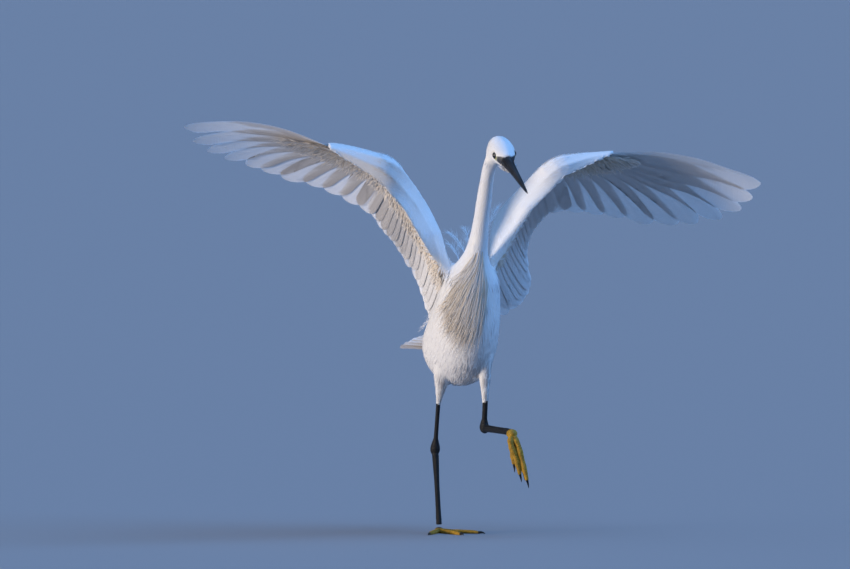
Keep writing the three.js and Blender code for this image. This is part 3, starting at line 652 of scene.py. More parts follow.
@dataclass
class ScatterTree:
    """A Geometry Nodes tree that sets one small shape on each point that it is given.

    Each point carries the attributes lie, out, size and home: the way along the shape, the way off the
    skin, its length, width and thickness, and its place on the map.
    """

    name: str
    element: Element
    material: Material
    segments: int = 3
    sides: int = 4
    seed: int = 7

    def build(self) -> bpy.types.NodeTree:
        """Returns the tree."""
        tree = bpy.data.node_groups.new(self.name, "GeometryNodeTree")
        face = tree.interface
        face.new_socket("Geometry", in_out="INPUT", socket_type="NodeSocketGeometry")
        for label in ("Curl", "Jitter"):
            face.new_socket(label, in_out="INPUT", socket_type="NodeSocketFloat").default_value = 0.1
        face.new_socket("Seed", in_out="INPUT", socket_type="NodeSocketInt").default_value = self.seed
        face.new_socket("Geometry", in_out="OUTPUT", socket_type="NodeSocketGeometry")
        graph = Graph(tree)
        given = graph.node("NodeGroupInput")
        shape = self._lock(graph, given) if self.element is Element.LOCK else self._scute(graph)
        placed = graph.node("GeometryNodeInstanceOnPoints", inputs={
            "Points": given.outputs["Geometry"], "Instance": shape, "Rotation": self._turn(graph, given),
            "Scale": self._attribute(graph, "size")})
        real = graph.node("GeometryNodeRealizeInstances", inputs={"Geometry": placed.outputs["Instances"]})
        mapped = self._map(graph, real.outputs["Geometry"])
        smooth = graph.node("GeometryNodeSetShadeSmooth", inputs={
            "Geometry": mapped, "Shade Smooth": self.element is Element.SCUTE})
        dressed = graph.node("GeometryNodeSetMaterial", inputs={
            "Geometry": smooth.outputs["Geometry"], "Material": self.material})
        graph.node("NodeGroupOutput", inputs={"Geometry": dressed.outputs["Geometry"]})
        return tree

    @staticmethod
    def _attribute(graph: Graph, name: str) -> Socket:
        """Returns a point's stored vector."""
        return graph.node("GeometryNodeInputNamedAttribute", {"data_type": "FLOAT_VECTOR"},
                          {"Name": name}).outputs["Attribute"]

    def _turn(self, graph: Graph, given: Node) -> Socket:
        """Returns the turn that lays a shape along the lie, swung a little at random."""
        axes = graph.node("FunctionNodeAxesToRotation", {"primary_axis": "Y", "secondary_axis": "Z"}, {
            "Primary Axis": self._attribute(graph, "lie"), "Secondary Axis": self._attribute(graph, "out")})
        chance = graph.node("FunctionNodeRandomValue", {"data_type": "FLOAT_VECTOR"}, {
            "Min": (-1, -1, -1), "Max": (1, 1, 1), "Seed": given.outputs["Seed"]})
        swing = graph.scaled(chance.outputs[0], given.outputs["Jitter"])
        euler = graph.node("FunctionNodeEulerToRotation", inputs={"Euler": swing})
        return graph.node("FunctionNodeRotateRotation", {"rotation_space": "LOCAL"}, {
            "Rotation": axes.outputs["Rotation"], "Rotate By": euler.outputs["Rotation"]}).outputs["Rotation"]

    def _lock(self, graph: Graph, given: Node) -> Socket:
        """Returns a flat lock one unit long from its root along Y, widest a third of the way out."""
        rod = graph.node("GeometryNodeMeshCylinder", {"fill_type": "TRIANGLE_FAN"}, {
            "Vertices": self.sides, "Side Segments": self.segments, "Fill Segments": 1,
            "Radius": 0.5, "Depth": 1.0})
        x, y, z = graph.parts(graph.node("GeometryNodeInputPosition").outputs[0])
        out = z + 0.5
        girth = (out + 0.12).power(0.6) * (1.02 - out).power(0.8) * 1.5
        bend = out * out * graph.term(given, "Curl") * -1.0
        place = graph.vector(x * girth, out, y * girth + bend)
        return self._shaped(graph, rod, graph.vector(x + 0.5, out, 0.0), place)

    def _scute(self, graph: Graph) -> Socket:
        """Returns a low rounded plate, one unit long and wide, centred on its point."""
        ball = graph.node("GeometryNodeMeshUVSphere", inputs={"Segments": 10, "Rings": 6, "Radius": 0.5})
        x, y, z = graph.parts(graph.node("GeometryNodeInputPosition").outputs[0])
        far = (x.math("ABSOLUTE") * 2).power(4) + (y.math("ABSOLUTE") * 2).power(4)
        square = 1.0 / (far + 0.4).power(0.25)
        place = graph.vector(x * square, y * square, z)
        return self._shaped(graph, ball, graph.vector(x + 0.5, y + 0.5, 0.0), place)

    @staticmethod
    def _shaped(graph: Graph, mesh: Node, leaf: Socket, place: Socket
                ) -> Socket:
        """Stores where each point lies on its patch of the map, and moves it to its place."""
        kind = {"data_type": "FLOAT_VECTOR", "domain": "POINT"}
        stored = graph.node("GeometryNodeStoreNamedAttribute", kind, {
            "Geometry": mesh.outputs["Mesh"], "Name": "leaf", "Value": leaf})
        return graph.node("GeometryNodeSetPosition", inputs={
            "Geometry": stored.outputs["Geometry"], "Position": place}).outputs["Geometry"]

    def _map(self, graph: Graph, geometry: Socket) -> Socket:
        """Stores the bake map: a small patch for each shape, at the place of its root."""
        spot = graph.node("ShaderNodeVectorMath", {"operation": "ADD"}, {
            0: graph.scaled(self._attribute(graph, "leaf"), PATCH), 1: self._attribute(graph, "home")})
        return graph.node("GeometryNodeStoreNamedAttribute", {"data_type": "FLOAT2", "domain": "CORNER"}, {
            "Geometry": geometry, "Name": "OFBake", "Value": spot.outputs["Vector"]}).outputs["Geometry"]


@dataclass
class Roots:
    """Where scattered shapes stand: one row for each, in millimetres."""

    at: Array
    lie: Array
    out: Array
    size: Array
    home: Array
    tint: Array

    def chosen(self, keep: Array) -> "Roots":
        """Returns only the rows that keep marks."""
        return Roots(*(getattr(self, item.name)[keep] for item in fields(self)))

    @classmethod
    def joined(cls, parts: Sequence["Roots"]) -> "Roots":
        """Returns the rows of several in one."""
        return cls(*(np.concatenate([getattr(part, item.name) for part in parts]) for item in fields(cls)))

    def dress(self, name: str, tree: bpy.types.NodeTree, curl: float, jitter: float, seed: int
              ) -> Object:
        """Sets the tree's shape on every root.

        Args:
            name: the piece's name.
            tree: a scatter tree.
            curl: how far each tip bends towards the skin, in thicknesses.
            jitter: the most that each shape is turned at random, in radians.
            seed: the seed of the random turns.

        Returns:
            The piece as a plain mesh.
        """
        mesh = bpy.data.meshes.new(name)
        mesh.vertices.add(len(self.at))
        write_points(mesh, self.at)
        home = np.concatenate([self.home, np.zeros((len(self.home), 1))], axis=1)
        for label, rows in (("lie", self.lie), ("out", self.out), ("size", self.size * MM), ("home", home)):
            layer = mesh.attributes.new(label, "FLOAT_VECTOR", "POINT")
            layer.data.foreach_set("vector", rows.astype(np.float32).ravel())
        write_tint(mesh.attributes.new("Tint", "FLOAT_COLOR", "POINT"), self.tint)
        made = new_object(name, mesh)
        modifier = made.modifiers.new("Scatter", "NODES")
        modifier.node_group = tree
        inputs = {item.name: item.identifier for item in tree.interface.items_tree
                  if item.item_type == "SOCKET" and item.in_out == "INPUT"}
        for label, value in (("Curl", curl), ("Jitter", jitter), ("Seed", seed)):
            modifier[inputs[label]] = value
        applied(made)
        for label in ("lie", "out", "size", "home", "leaf"):
            if label in made.data.attributes:
                made.data.attributes.remove(made.data.attributes[label])
        return made


# Forms, repeated from the solids


@dataclass
class Body:
    """Trunk and neck: oval sections from the rump, at place 0, to the nape."""

    rows: tuple = (
        (28, 80, 238, 7, 5, 6), (28, 68, 236, 20, 15, 19), (28, 48, 233, 36, 31, 38),
        (28, 22, 237, 46, 46, 54), (28, -4, 248, 47, 57, 64), (28, -27, 272, 44.5, 56, 60),
        (28, -44, 302, 41, 45, 47), (29, -55, 327, 35, 36, 34), (29, -61, 343, 24, 27, 25),
        (30, -66, 358, 16.5, 18, 19), (32, -72, 379, 13, 14, 15), (33, -79, 402, 11.2, 12, 13),
        (34, -88, 426, 11, 11.5, 12), (34, -99, 448, 10, 11, 11), (33.6, -112, 466, 9.8, 11, 10.5),
        (35.4, -126, 477.5, 12.6, 11.5, 9))
    neck_foot: float = 8.5

    def __post_init__(self) -> None:
        """Makes the midline."""
        self.line = Spline([row[:3] for row in self.rows])
        self.last = len(self.rows) - 1

    def point(self, place: Array, turn: Array, lift: Union[float, Array] = 0.0) -> Array:
        """Returns points of the skin at places in the run and angles about it, lifted off by a little."""
        place, turn, lift = np.broadcast_arrays(place, turn, lift)
        t = place / self.last
        tangent = self.line.tangent(t)
        up = unit(np.cross(tangent, (1.0, 0.0, 0.0)))
        wide, above, below = (smooth_value([row[k] for row in self.rows], place) + lift for k in (3, 4, 5))
        across, rise = np.cos(turn), np.sin(turn)
        tall = np.where(rise > 0, above, below)
        side = np.zeros_like(tangent)
        side[..., 0] = 1
        return self.line.at(t) + side * (across * wide)[..., None] + up * (rise * tall)[..., None]

    def out(self, place: Array, turn: Array) -> Array:
        """Returns the way off the skin."""
        back = self.point(place - 0.05, turn) - self.point(place + 0.05, turn)
        around = self.point(place, turn + 0.02) - self.point(place, turn - 0.02)
        return unit(np.cross(back, around))

    def rings(self, start: float, end: float, count: int, lift: Callable[[Array], Array], sides: int = 40
              ) -> Array:
        """Returns rings of points from one place to another, off the skin by a length that varies."""
        places = np.linspace(start, end, count)[:, None]
        return self.point(places, circle(sides), lift(places))


@dataclass
class Head:
    """The head: oval sections along an axis that points forward, down and a little to the left."""

    eyes_middle: Triple = (43.7, -147, 482.3)
    yaw: float = math.radians(2.5)
    pitch: float = math.radians(24.5)
    roll: float = math.radians(5)
    run: tuple = ((-42, 4, 4, 5), (-38, 10, 10, 11), (-28, 15.5, 15.5, 16), (-14, 17.2, 17, 16.5),
                  (-3, 16.5, 15, 14.5), (7, 12.5, 11.5, 12.5), (14, 9, 9, 10.5))
    bill_start: float = 14
    eye_ahead: float = -1.4
    eye_out: float = 10.7
    eye_rise: float = 1.5
    eye_radius: float = 4.9

    def __post_init__(self) -> None:
        """Works out the head's own directions."""
        flat = math.cos(self.pitch)
        self.axis = np.array([math.sin(self.yaw) * flat, -math.cos(self.yaw) * flat, -math.sin(self.pitch)])
        level = -unit(np.cross(self.axis, (0, 0, 1.0)))
        self.side = level * math.cos(self.roll) + np.cross(self.axis, level) * math.sin(self.roll)
        self.up = -unit(np.cross(self.side, self.axis))

    def place(self, ahead: Array, left: Array, up: Array) -> Array:
        """Returns the point at lengths ahead of, left of and above the middle of the eyes."""
        ahead, left, up = (np.asarray(v, float)[..., None] for v in (ahead, left, up))
        return np.array(self.eyes_middle, float) + ahead * self.axis + left * self.side + up * self.up

    def local(self, points: Array) -> Array:
        """Returns lengths ahead, left and up for points."""
        return (points - np.array(self.eyes_middle)) @ np.stack([self.axis, self.side, self.up], axis=1)

    def rings(self, lift: float, count: int = 44, sides: int = 40) -> Array:
        """Returns rings of points from the nape to the bill, off the skin by a length."""
        place = np.linspace(0, 1, count)[:, None] * (len(self.run) - 1)
        ahead, wide, above, below = (smooth_value([row[k] for row in self.run], place) for k in range(4))
        turn = circle(sides)
        across, rise = np.cos(turn), np.sin(turn)
        return self.place(ahead, across * (wide + lift), rise * (np.where(rise > 0, above, below) + lift))

    def lore(self, points: Array) -> Array:
        """Returns 1 on the bare skin between eye and bill, fading to 0 round it."""
        ahead, left, up = np.moveaxis(self.local(points), -1, 0)
        middle = -0.05 * (ahead - 4) - 0.2
        half = 3.0 + 0.36 * np.clip(ahead - 4, 0, 10)
        band = 1 - ramp(half - 0.9, half + 0.5, np.abs(up - middle))
        near = 1 - ramp(16, 20, ahead)
        return band * near * ramp(0.5, 2.5, ahead) * ramp(4.0, 6.0, np.abs(left))


@dataclass
class Wing:
    """One raised wing. A place on it is a feather number: -3 to 3 are tertials, 4 to 15 secondaries
    and 16 to 25 primaries."""

    side: Side
    shoulder: tuple
    elbow: tuple
    wrist: tuple
    hand_end: tuple
    edge: tuple
    tips: tuple
    # How strongly the flight feathers are darkened where they overlap: painted shade.
    dusk: float = 0.5
    down_start: float = 0.0
    down_reach: Triple = (0.34, 0.32, 0.20)
    first: float = -3.0
    last: float = 25.0
    rounding: float = 1.4
    bow: float = 0.085
    lap: float = 0.55
    arm_rear: float = 12.0
    edge_bend: float = 0.55

    def __post_init__(self) -> None:
        """Names the wing and makes the curve of the feather tips."""
        self.name = self.side.name.lower()
        self.tip_line = Spline([point for _, point in self.tips])
        self.tip_places = [place for place, _ in self.tips]

    def _joints(self, k: Array) -> Array:
        """Returns the bone line, bent sharply at elbow and wrist."""
        shoulder, elbow, wrist, end = (np.array(p, float) for p in
                                       (self.shoulder, self.elbow, self.wrist, self.hand_end))
        upper = mix(shoulder, elbow, (k + ELBOW) / (2 * ELBOW))
        fore = mix(elbow, wrist, (k - ELBOW) / (WRIST - ELBOW))
        hand = mix(wrist, end, (k - WRIST) / (self.last - WRIST))
        return np.where((k < ELBOW)[..., None], upper, np.where((k < WRIST)[..., None], fore, hand))

    def bone(self, k: Array) -> Array:
        """Returns the bone line, rounded at the joints."""
        k = np.asarray(k, float)
        around = (self._joints(k - self.rounding) + self._joints(k + self.rounding)) / 2
        return mix(around, self._joints(k), np.full(k.shape, 1 / 3))

    def tip(self, k: Array) -> Array:
        """Returns the feather tips."""
        inner = np.clip(k, self.tip_places[0], self.last)
        order = np.interp(inner, self.tip_places, np.arange(len(self.tip_places)))
        return self.tip_line.at(order / (len(self.tip_places) - 1))

    def front(self, k: Array) -> Array:
        """Returns the leading edge."""
        k = np.asarray(k, float)
        a, b, c, d = (np.array(p, float) for p in self.edge)
        bend = self.edge_bend
        run = (k + ELBOW) / (WRIST + ELBOW)
        inner = np.where((run < bend)[..., None], mix(a, b, run / bend), mix(b, c, (run - bend) / (1 - bend)))
        return np.where((k >= WRIST)[..., None], mix(c, d, (k - WRIST) / (self.last - WRIST)), inner)

    def dorsal(self, k: Array) -> Array:
        """Returns the upper side of the sheet of feathers."""
        here = np.clip(k, self.first + 0.5, self.last - 0.5)
        inner = mix(self.bone(here - 0.5), self.tip(here - 0.5), np.full(np.shape(here), 0.4))
        outer = mix(self.bone(here + 0.5), self.tip(here + 0.5), np.full(np.shape(here), 0.4))
        return unit(np.cross(unit(outer - inner), unit(self.tip(here) - self.bone(here)))) * self.side.value

    def sheet(self, place: Array, share: Array, lift: Union[float, Array]) -> Array:
        """Returns points of the sheet of feathers.

        Args:
            place: feather numbers, which may lie between two feathers.
            share: how far out, from root to tip.
            lift: how far off the sheet on its upper side.

        Returns:
            The points.
        """
        place, share, lift = np.broadcast_arrays(np.asarray(place, float), share, lift)
        inner = np.minimum(place, self.last)
        root, end = self.bone(inner), self.tip(inner)
        length = np.linalg.norm(end - root, axis=-1)
        rise = length * self.bow * 4 * share * (1 - share) + lift
        point = mix(root, end, share) + self.dorsal(inner) * rise[..., None]
        back = mix(self.bone(inner - 0.5), self.tip(inner - 0.5), share)
        beyond = (mix(root, end, share) - back) * (2 * np.maximum(place - self.last, 0))[..., None]
        return point + beyond

    def above(self, place: Array) -> Array:
        """Returns half the arm's thickness above the bone."""
        return np.interp(place, (-4, 0.5, 16, 25), (4, 14, 14, 4.5))

    def below(self, place: Array) -> Array:
        """Returns half the arm's thickness below the bone."""
        return np.interp(place, (4, 16, 25), (9, 8, 3.5))

    def arm(self, place: Array, inset: float = 0.0) -> Array:
        """Returns the arm's closed sections: five points above from the front, then five below back to it."""
        place = np.asarray(place, float)
        middle = lambda k: mix(self.front(k), self.bone(k), np.full(np.shape(k), 0.5))
        span = unit(middle(place + 0.6) - middle(place - 0.6))
        root, front = self.bone(place), self.front(place)
        dorsal = unit(np.cross(span, unit(root - front))) * self.side.value
        rear = unit(np.cross(dorsal, span)) * self.side.value
        above = np.maximum(self.above(place) - inset, 1.5)[..., None]
        below = np.maximum(self.below(place) - inset, 1.2)[..., None]
        between = mix(front, root, np.full(place.shape, 0.4))
        back = self.arm_rear - inset * 0.6
        front = front + rear * inset * 0.6
        thin = max(1.3 - inset * 0.25, 0.5)
        return np.stack([
            front + dorsal * thin, between + dorsal * above * 0.85, root + dorsal * above,
            root + rear * back * 0.55 + dorsal * above * 0.6, root + rear * back + dorsal * thin,
            root + rear * back - dorsal * thin, root + rear * back * 0.55 - dorsal * below * 0.6,
            root - dorsal * below * 0.8, between + dorsal * above * 0.3, front - dorsal * thin], axis=-2)


RIGHT_WING = Wing(
    Side.RIGHT, (-1, -45, 339), (-20.6, 7, 406), (-79, -56, 470), (-160.8, -52.7, 493.6),
    ((-21.7, -48, 347.5), (-62.5, -61, 411), (-98, -63.4, 450.4), (-161, -60, 490)),
    ((-3, (13, 64, 270)), (0, (11.8, 96.5, 275.6)), (4, (1.3, 105, 314.8)), (8, (-20.8, 97.9, 349)),
     (12, (-47.5, 86, 379)), (15, (-74, 82, 407)), (18, (-144.8, 91, 438)), (21, (-228.5, 90, 463)),
     (23, (-288, 64, 483.4)), (24, (-315.6, 42, 498.5)), (25, (-334.4, 18, 517))),
    dusk=0.8, down_start=0.3, down_reach=(0.60, 0.58, 0.42))
LEFT_WING = Wing(
    Side.LEFT, (59, -41, 339), (85.7, 8.7, 397), (136, -51, 468), (218, -48.7, 482.8),
    ((66, -54.3, 347.5), (101.7, -64.5, 408.6), (144.8, -66.5, 452), (208.8, -60, 480.4)),
    ((-3, (60, 64, 268)), (0, (130, 88, 282)), (4, (150, 98, 311)), (8, (147, 102, 354)),
     (12, (159, 92, 388)), (15, (179, 79, 404)), (18, (254, 60, 394)), (21, (350, 28, 385)),
     (23, (395, -22, 406)), (24, (406.4, -43, 422)), (25, (413, -60, 440))))


# Feathers as thin closed leaves


@dataclass
class Leaves:
    """Thin closed leaves that share one grid of rows, from root to tip, and columns across.

    The upper and the lower side share the points of the border, so that each leaf is closed.
    """

    rows: int
    columns: int
    cells: int = 10
    margin: float = 0.08

    def __post_init__(self) -> None:
        """Numbers the points of one leaf."""
        r, c = self.rows, self.columns
        upper = np.arange(r * c).reshape(r, c)
        lower = upper.copy()
        lower[1:-1, 1:-1] = r * c + np.arange((r - 2) * (c - 2)).reshape(r - 2, c - 2)
        grid = grid_quads(r, c)
        self.quads = np.concatenate([grid, lower.ravel()[grid][:, ::-1]])
        self.corners = np.concatenate([grid, grid[:, ::-1]])
        self.size = r * c + (r - 2) * (c - 2)
        self.faces = len(grid)
        self.border = np.ones(self.size, bool)
        self.border[upper[1:-1, 1:-1].ravel()] = False
        self.border[r * c:] = False

    def add(self, surface: Surface, middle: Array, up: Array, half: Array, tint: Array, vane: Array,
            under: Optional[Array] = None) -> None:
        """Adds leaves to a surface.

        Args:
            surface: where they go.
            middle: middle points as leaf, row, column, xyz.
            up: the way to the upper side, of a shape that fits middle.
            half: half the thickness, as leaf, row, column. The border keeps none.
            tint: warmth, shade and a random number, of a shape that fits middle.
            vane: how far across, from -1 to 1, and how far along in millimetres, of a shape that fits middle.
            under: the tint of the lower side, where it differs.
        """
        n = len(middle)
        under = tint if under is None else under
        up, tint, under = (np.broadcast_to(v, middle.shape) for v in (up, tint, under))
        vane = np.broadcast_to(vane, (*middle.shape[:3], 2))
        off = up * half[..., None]
        off[:, [0, -1]] = 0
        off[:, :, [0, -1]] = 0
        inner = (slice(None), slice(1, -1), slice(1, -1))
        flat = lambda a: a.reshape(n, -1, a.shape[-1])
        points, tints, vanes = (
            np.concatenate([flat(above), flat(below[inner])], 1)
            for above, below in ((middle + off, middle - off), (tint, under), (vane, vane)))
        quads = self.quads[None] + (np.arange(n) * self.size)[:, None, None]
        r, c = self.rows // 2, self.columns // 2
        along = middle[:, r + 1, c] - middle[:, r, c]
        across = middle[:, r, c + 1] - middle[:, r, c]
        wrong = np.sum(np.cross(across, along) * up[:, r, c], axis=-1) < 0
        maps = self._maps(n)
        quads[wrong] = quads[wrong][:, :, ::-1]
        maps[wrong] = maps[wrong][:, :, ::-1]
        surface.add(points.reshape(-1, 3), quads.reshape(-1, 4), tints.reshape(-1, 3), maps.reshape(-1, 4, 2),
                    vanes.reshape(-1, 2), np.tile(self.border, n))

    def _maps(self, n: int) -> Array:
        """Returns map places: each leaf has two neighbouring cells, one for each side."""
        number = np.arange(n)
        cell = np.stack([(number * 2) % self.cells, (number * 2) // self.cells], -1) / self.cells
        row, column = np.divmod(self.corners, self.columns)
        inside = np.stack([column / (self.columns - 1), row / (self.rows - 1)], -1)
        inside = (inside * (1 - 2 * self.margin) + self.margin) / self.cells
        inside[self.faces:, :, 0] += 1 / self.cells
        return cell[:, None, None, :] + inside[None]


def rounded(t: Array, start: float) -> Array:
    """Returns 1 up to a share of the way, then a quarter of an ellipse down to nearly nothing."""
    past = np.clip((t - start) / (1 - start), 0, 1) * 0.998
    return np.sqrt(1 - past * past)


def flight_outline(t: Array) -> Array:
    """Returns the half width of a flight feather from root to tip, as a share of its widest."""
    return (0.3 + 0.6 * ramp(0, 0.32, t) + 0.08 * t) * rounded(t, 0.90)


def covert_outline(t: Array) -> Array:
    """Returns the half width of a covert from root to tip, as a share of its widest."""
    return (0.55 + 0.45 * ramp(0, 0.5, t)) * rounded(t, 0.76)


def plume_outline(t: Array) -> Array:
    """Returns the half width of a long narrow plume from root to tip, as a share of its widest."""
    return (0.45 + 0.55 * ramp(0, 0.25, t)) * (1 - ramp(0.35, 1.05, t) * 0.97)


def shaft_ridge(v: Array) -> Array:
    """Returns the height of a feather's shaft at places across it, 1 in the middle."""
    return np.exp(-(v / 0.045) ** 2)


VANE_COLUMNS = np.array([-1, -0.66, -0.3, -0.05, 0, 0.05, 0.3, 0.66, 1])
TIP_ROWS = np.concatenate([np.linspace(0, 0.8, 11), [0.86, 0.905, 0.94, 0.967, 0.986, 0.996, 1.0]])


@dataclass
class Tier:
    """One tier of feathers over a stretch of a wing."""

    name: str
    places: Array
    share: tuple[float, float]
    lifts: Callable[[Array], tuple[Array, Array]]
    outline: Callable[[Array], Array]
    wide: float = 1.0
    least: float = 1.2
    thick: float = 0.35
    warmth: float = 0.0
    shade: float = 0.0
    seed: int = 1


@dataclass
class WingFeathers:
    """Flight feathers and coverts of one wing, in tiers over and under the arm."""

    wing: Wing
    material: Material
    hand_share: float = 0.8
    shaft: float = 0.5
    notch: float = 0.30
    soft: float = 0.06

    def _widths(self, place: Array) -> Array:
        """Returns feather widths."""
        return np.interp(place, (0, 14, 16, 20, 23, 25), (27, 29, 37, 43, 43, 36))

    def _lead(self, place: Array) -> Array:
        """Returns the share of a feather's width ahead of its shaft."""
        return np.interp(place, (20.9, 21, 25), (0.48, 0.44, 0.25))

    def tier(self, tier: Tier) -> Object:
        """Makes one tier of feathers as a piece."""
        chance = np.random.default_rng(tier.seed)
        place = np.asarray(tier.places, float)
        n = len(place)
        low, high = tier.share
        reach = np.where((place >= WRIST) & (high < 1), high * self.hand_share, high)
        reach = reach * (1 + np.clip(chance.normal(0, 0.014 if high >= 1 else 0.05, n), -0.05, 0.05))
        spacing = lambda k, s: np.linalg.norm(
            self.wing.sheet(k + 0.5, s, 0) - self.wing.sheet(k - 0.5, s, 0), axis=-1)
        wide = np.maximum(self._widths(place) * tier.wide, tier.least * spacing(place, reach * 0.8))
        t = TIP_ROWS[None, :]
        share = low + (reach[:, None] - low) * t
        notch = (self.notch * ramp(20.2, 21.8, place) * (high >= 1))[:, None] * ramp(0.55, 0.78, t)
        half_wide = wide[:, None] * tier.outline(t) * (1 - notch) / spacing(place[:, None], share)
        lead = self._lead(place)[:, None]
        v = VANE_COLUMNS[None, None, :]
        step = np.where(v > 0, v * (half_wide * lead)[..., None], v * (half_wide * (1 - lead))[..., None])
        root_lift, tip_lift = tier.lifts(place)
        lift = root_lift[:, None] + (tip_lift - root_lift)[:, None] * np.sqrt(t)
        roll = 1 + chance.normal(0, 0.06, n)[:, None, None]
        camber = 0.4 * (1 - v ** 2) * ramp(0.05, 0.3, t)[..., None]
        tipped = chance.normal(0, 0.5, n)[:, None, None] * (t ** 3)[..., None]
        swept = 0.006 * (v ** 2) * tier.outline(t)[..., None]
        share = share[..., None] - swept * (reach - low)[:, None, None]
        middle = self.wing.sheet(place[:, None, None] + step, share,
                                 lift[..., None] + step * self.wing.lap * roll + camber + tipped)
        up = self.wing.dorsal(place)[:, None, None, :]
        shaft = shaft_ridge(v) * self.shaft * (1 - 0.75 * t)[..., None]
        half = (tier.thick * (1 - 0.4 * t)[..., None] * (1 - v ** 4 * 0.5) + shaft) / 2
        length = np.linalg.norm(self.wing.tip(place) - self.wing.bone(place), axis=-1)
        along = share * length[:, None, None]
        tint = np.zeros((*middle.shape[:3], 3))
        tint[..., 0] = tier.warmth
        # Painted shade: each feather is darker where its neighbours overlap it and towards its root, more so
        # on the outer feathers, and stays light where it lies alone, as light shines through one layer.
        here = place[:, None, None] + step
        inner_end = place[:, None] - 1 + half_wide * lead
        outer_start = place[:, None] + 1 - half_wide * (1 - lead)
        alone = (ramp(-self.soft, self.soft, here - inner_end[..., None])
                 * ramp(-self.soft, self.soft, outer_start[..., None] - here))
        root_shade = 0.2 * (1 - ramp(0.3, 0.8, t))[..., None]
        outer = np.interp(place, (5, 14), (0.25, 1.0))[:, None, None]
        tint[..., 1] = tier.shade * outer * np.clip(0.06 + 0.7 * (1 - alone) + root_shade, 0, 1)
        tint[..., 2] = chance.uniform(0, 1, n)[:, None, None]
        vane = abreast(v, along)
        surface = Surface()
        Leaves(len(TIP_ROWS), len(VANE_COLUMNS)).add(surface, middle, up, half, tint, vane)
        made = surface.build(f"{self.wing.name}_wing_{tier.name}", self.material)
        return finish_piece(made, Slot.PLUMAGE)

    def tiers(self) -> list[Tier]:
        """Returns the tiers of the whole wing."""
        first, last = self.wing.first, self.wing.last
        above, below = self.wing.above, self.wing.below
        ones = np.ones_like
        whole = np.arange(first, last + 0.5)
        between = np.arange(first + 0.5, last - 2)
        dense = np.arange(first, last - 2, 0.75)
        return [
            Tier("flight", whole, (0.0, 1.0), lambda k: (0 * k, 0 * k), flight_outline,
                 shade=self.wing.dusk, seed=11),
            Tier("upper_greater", between[:-2], (0.0, 0.44), lambda k: (above(k) * 0.5, 2.6 * ones(k)),
                 covert_outline, 0.9, 1.35, seed=12),
            Tier("upper_median", dense[:-3], (-0.02, 0.29), lambda k: (above(k) * 0.85, 4.2 * ones(k)),
                 covert_outline, 0.7, 1.4, seed=13),
            # The coverts under the arm are tinted tan and darkened: painted warm shade of the underwing.
            Tier("under_greater", between, (0.0, 0.36), lambda k: (-below(k) * 0.4, -2.6 * ones(k)),
                 covert_outline, 0.9, 1.35, warmth=0.25, shade=0.5, seed=14),
            Tier("under_median", dense, (-0.02, 0.24), lambda k: (-below(k) * 0.7, -4.4 * ones(k)),
                 covert_outline, 0.7, 1.4, warmth=0.5, shade=0.5, seed=15),
        ]

    def build(self) -> None:
        """Makes every tier."""
        for tier in self.tiers():
            self.tier(tier)


def underwing_down(wing: Wing, material: Material, count: int = 3000) -> Object:
    """Makes the short loose coverts under the arm."""
    chance = np.random.default_rng(91)
    place = chance.uniform(-2.0, 24.0, count)
    reach = np.interp(place, (0, 15, 24.5), wing.down_reach)
    part = chance.uniform(0, 1, count)
    lift = -(wing.below(place) * (1 - part) + 5.6 * part)
    at = wing.sheet(place, reach * (wing.down_start + (1 - wing.down_start) * part), lift)
    out = -wing.dorsal(place)
    lie = unit(unit(wing.tip(place) - wing.bone(place)) + chance.normal(0, 0.22, (count, 3)) + out * 0.16)
    out = unit(out - lie * np.sum(out * lie, axis=1, keepdims=True))
    long = chance.uniform(7.0, 11.0, count)
    size = abreast(0.26 * long, long, 0.35)
    # Painted warm shade: these coverts are tinted tan, most near the arm, and a little darker at random.
    warm = (0.75 - 0.30 * part) * chance.uniform(0.6, 1.3, count)
    home = abreast((place + 3) / 29, part * 0.99)
    tint = abreast(warm, 0.3 * chance.uniform(0, 1, count), chance.uniform(0, 1, count))
    name = f"{wing.name}_underwing_down"
    tree = ScatterTree("Underwing locks", Element.LOCK, material).build()
    return finish_piece(Roots(at, lie, out, size, home, tint).dress(name, tree, 1.0, 0.15, 92), Slot.PLUMAGE)


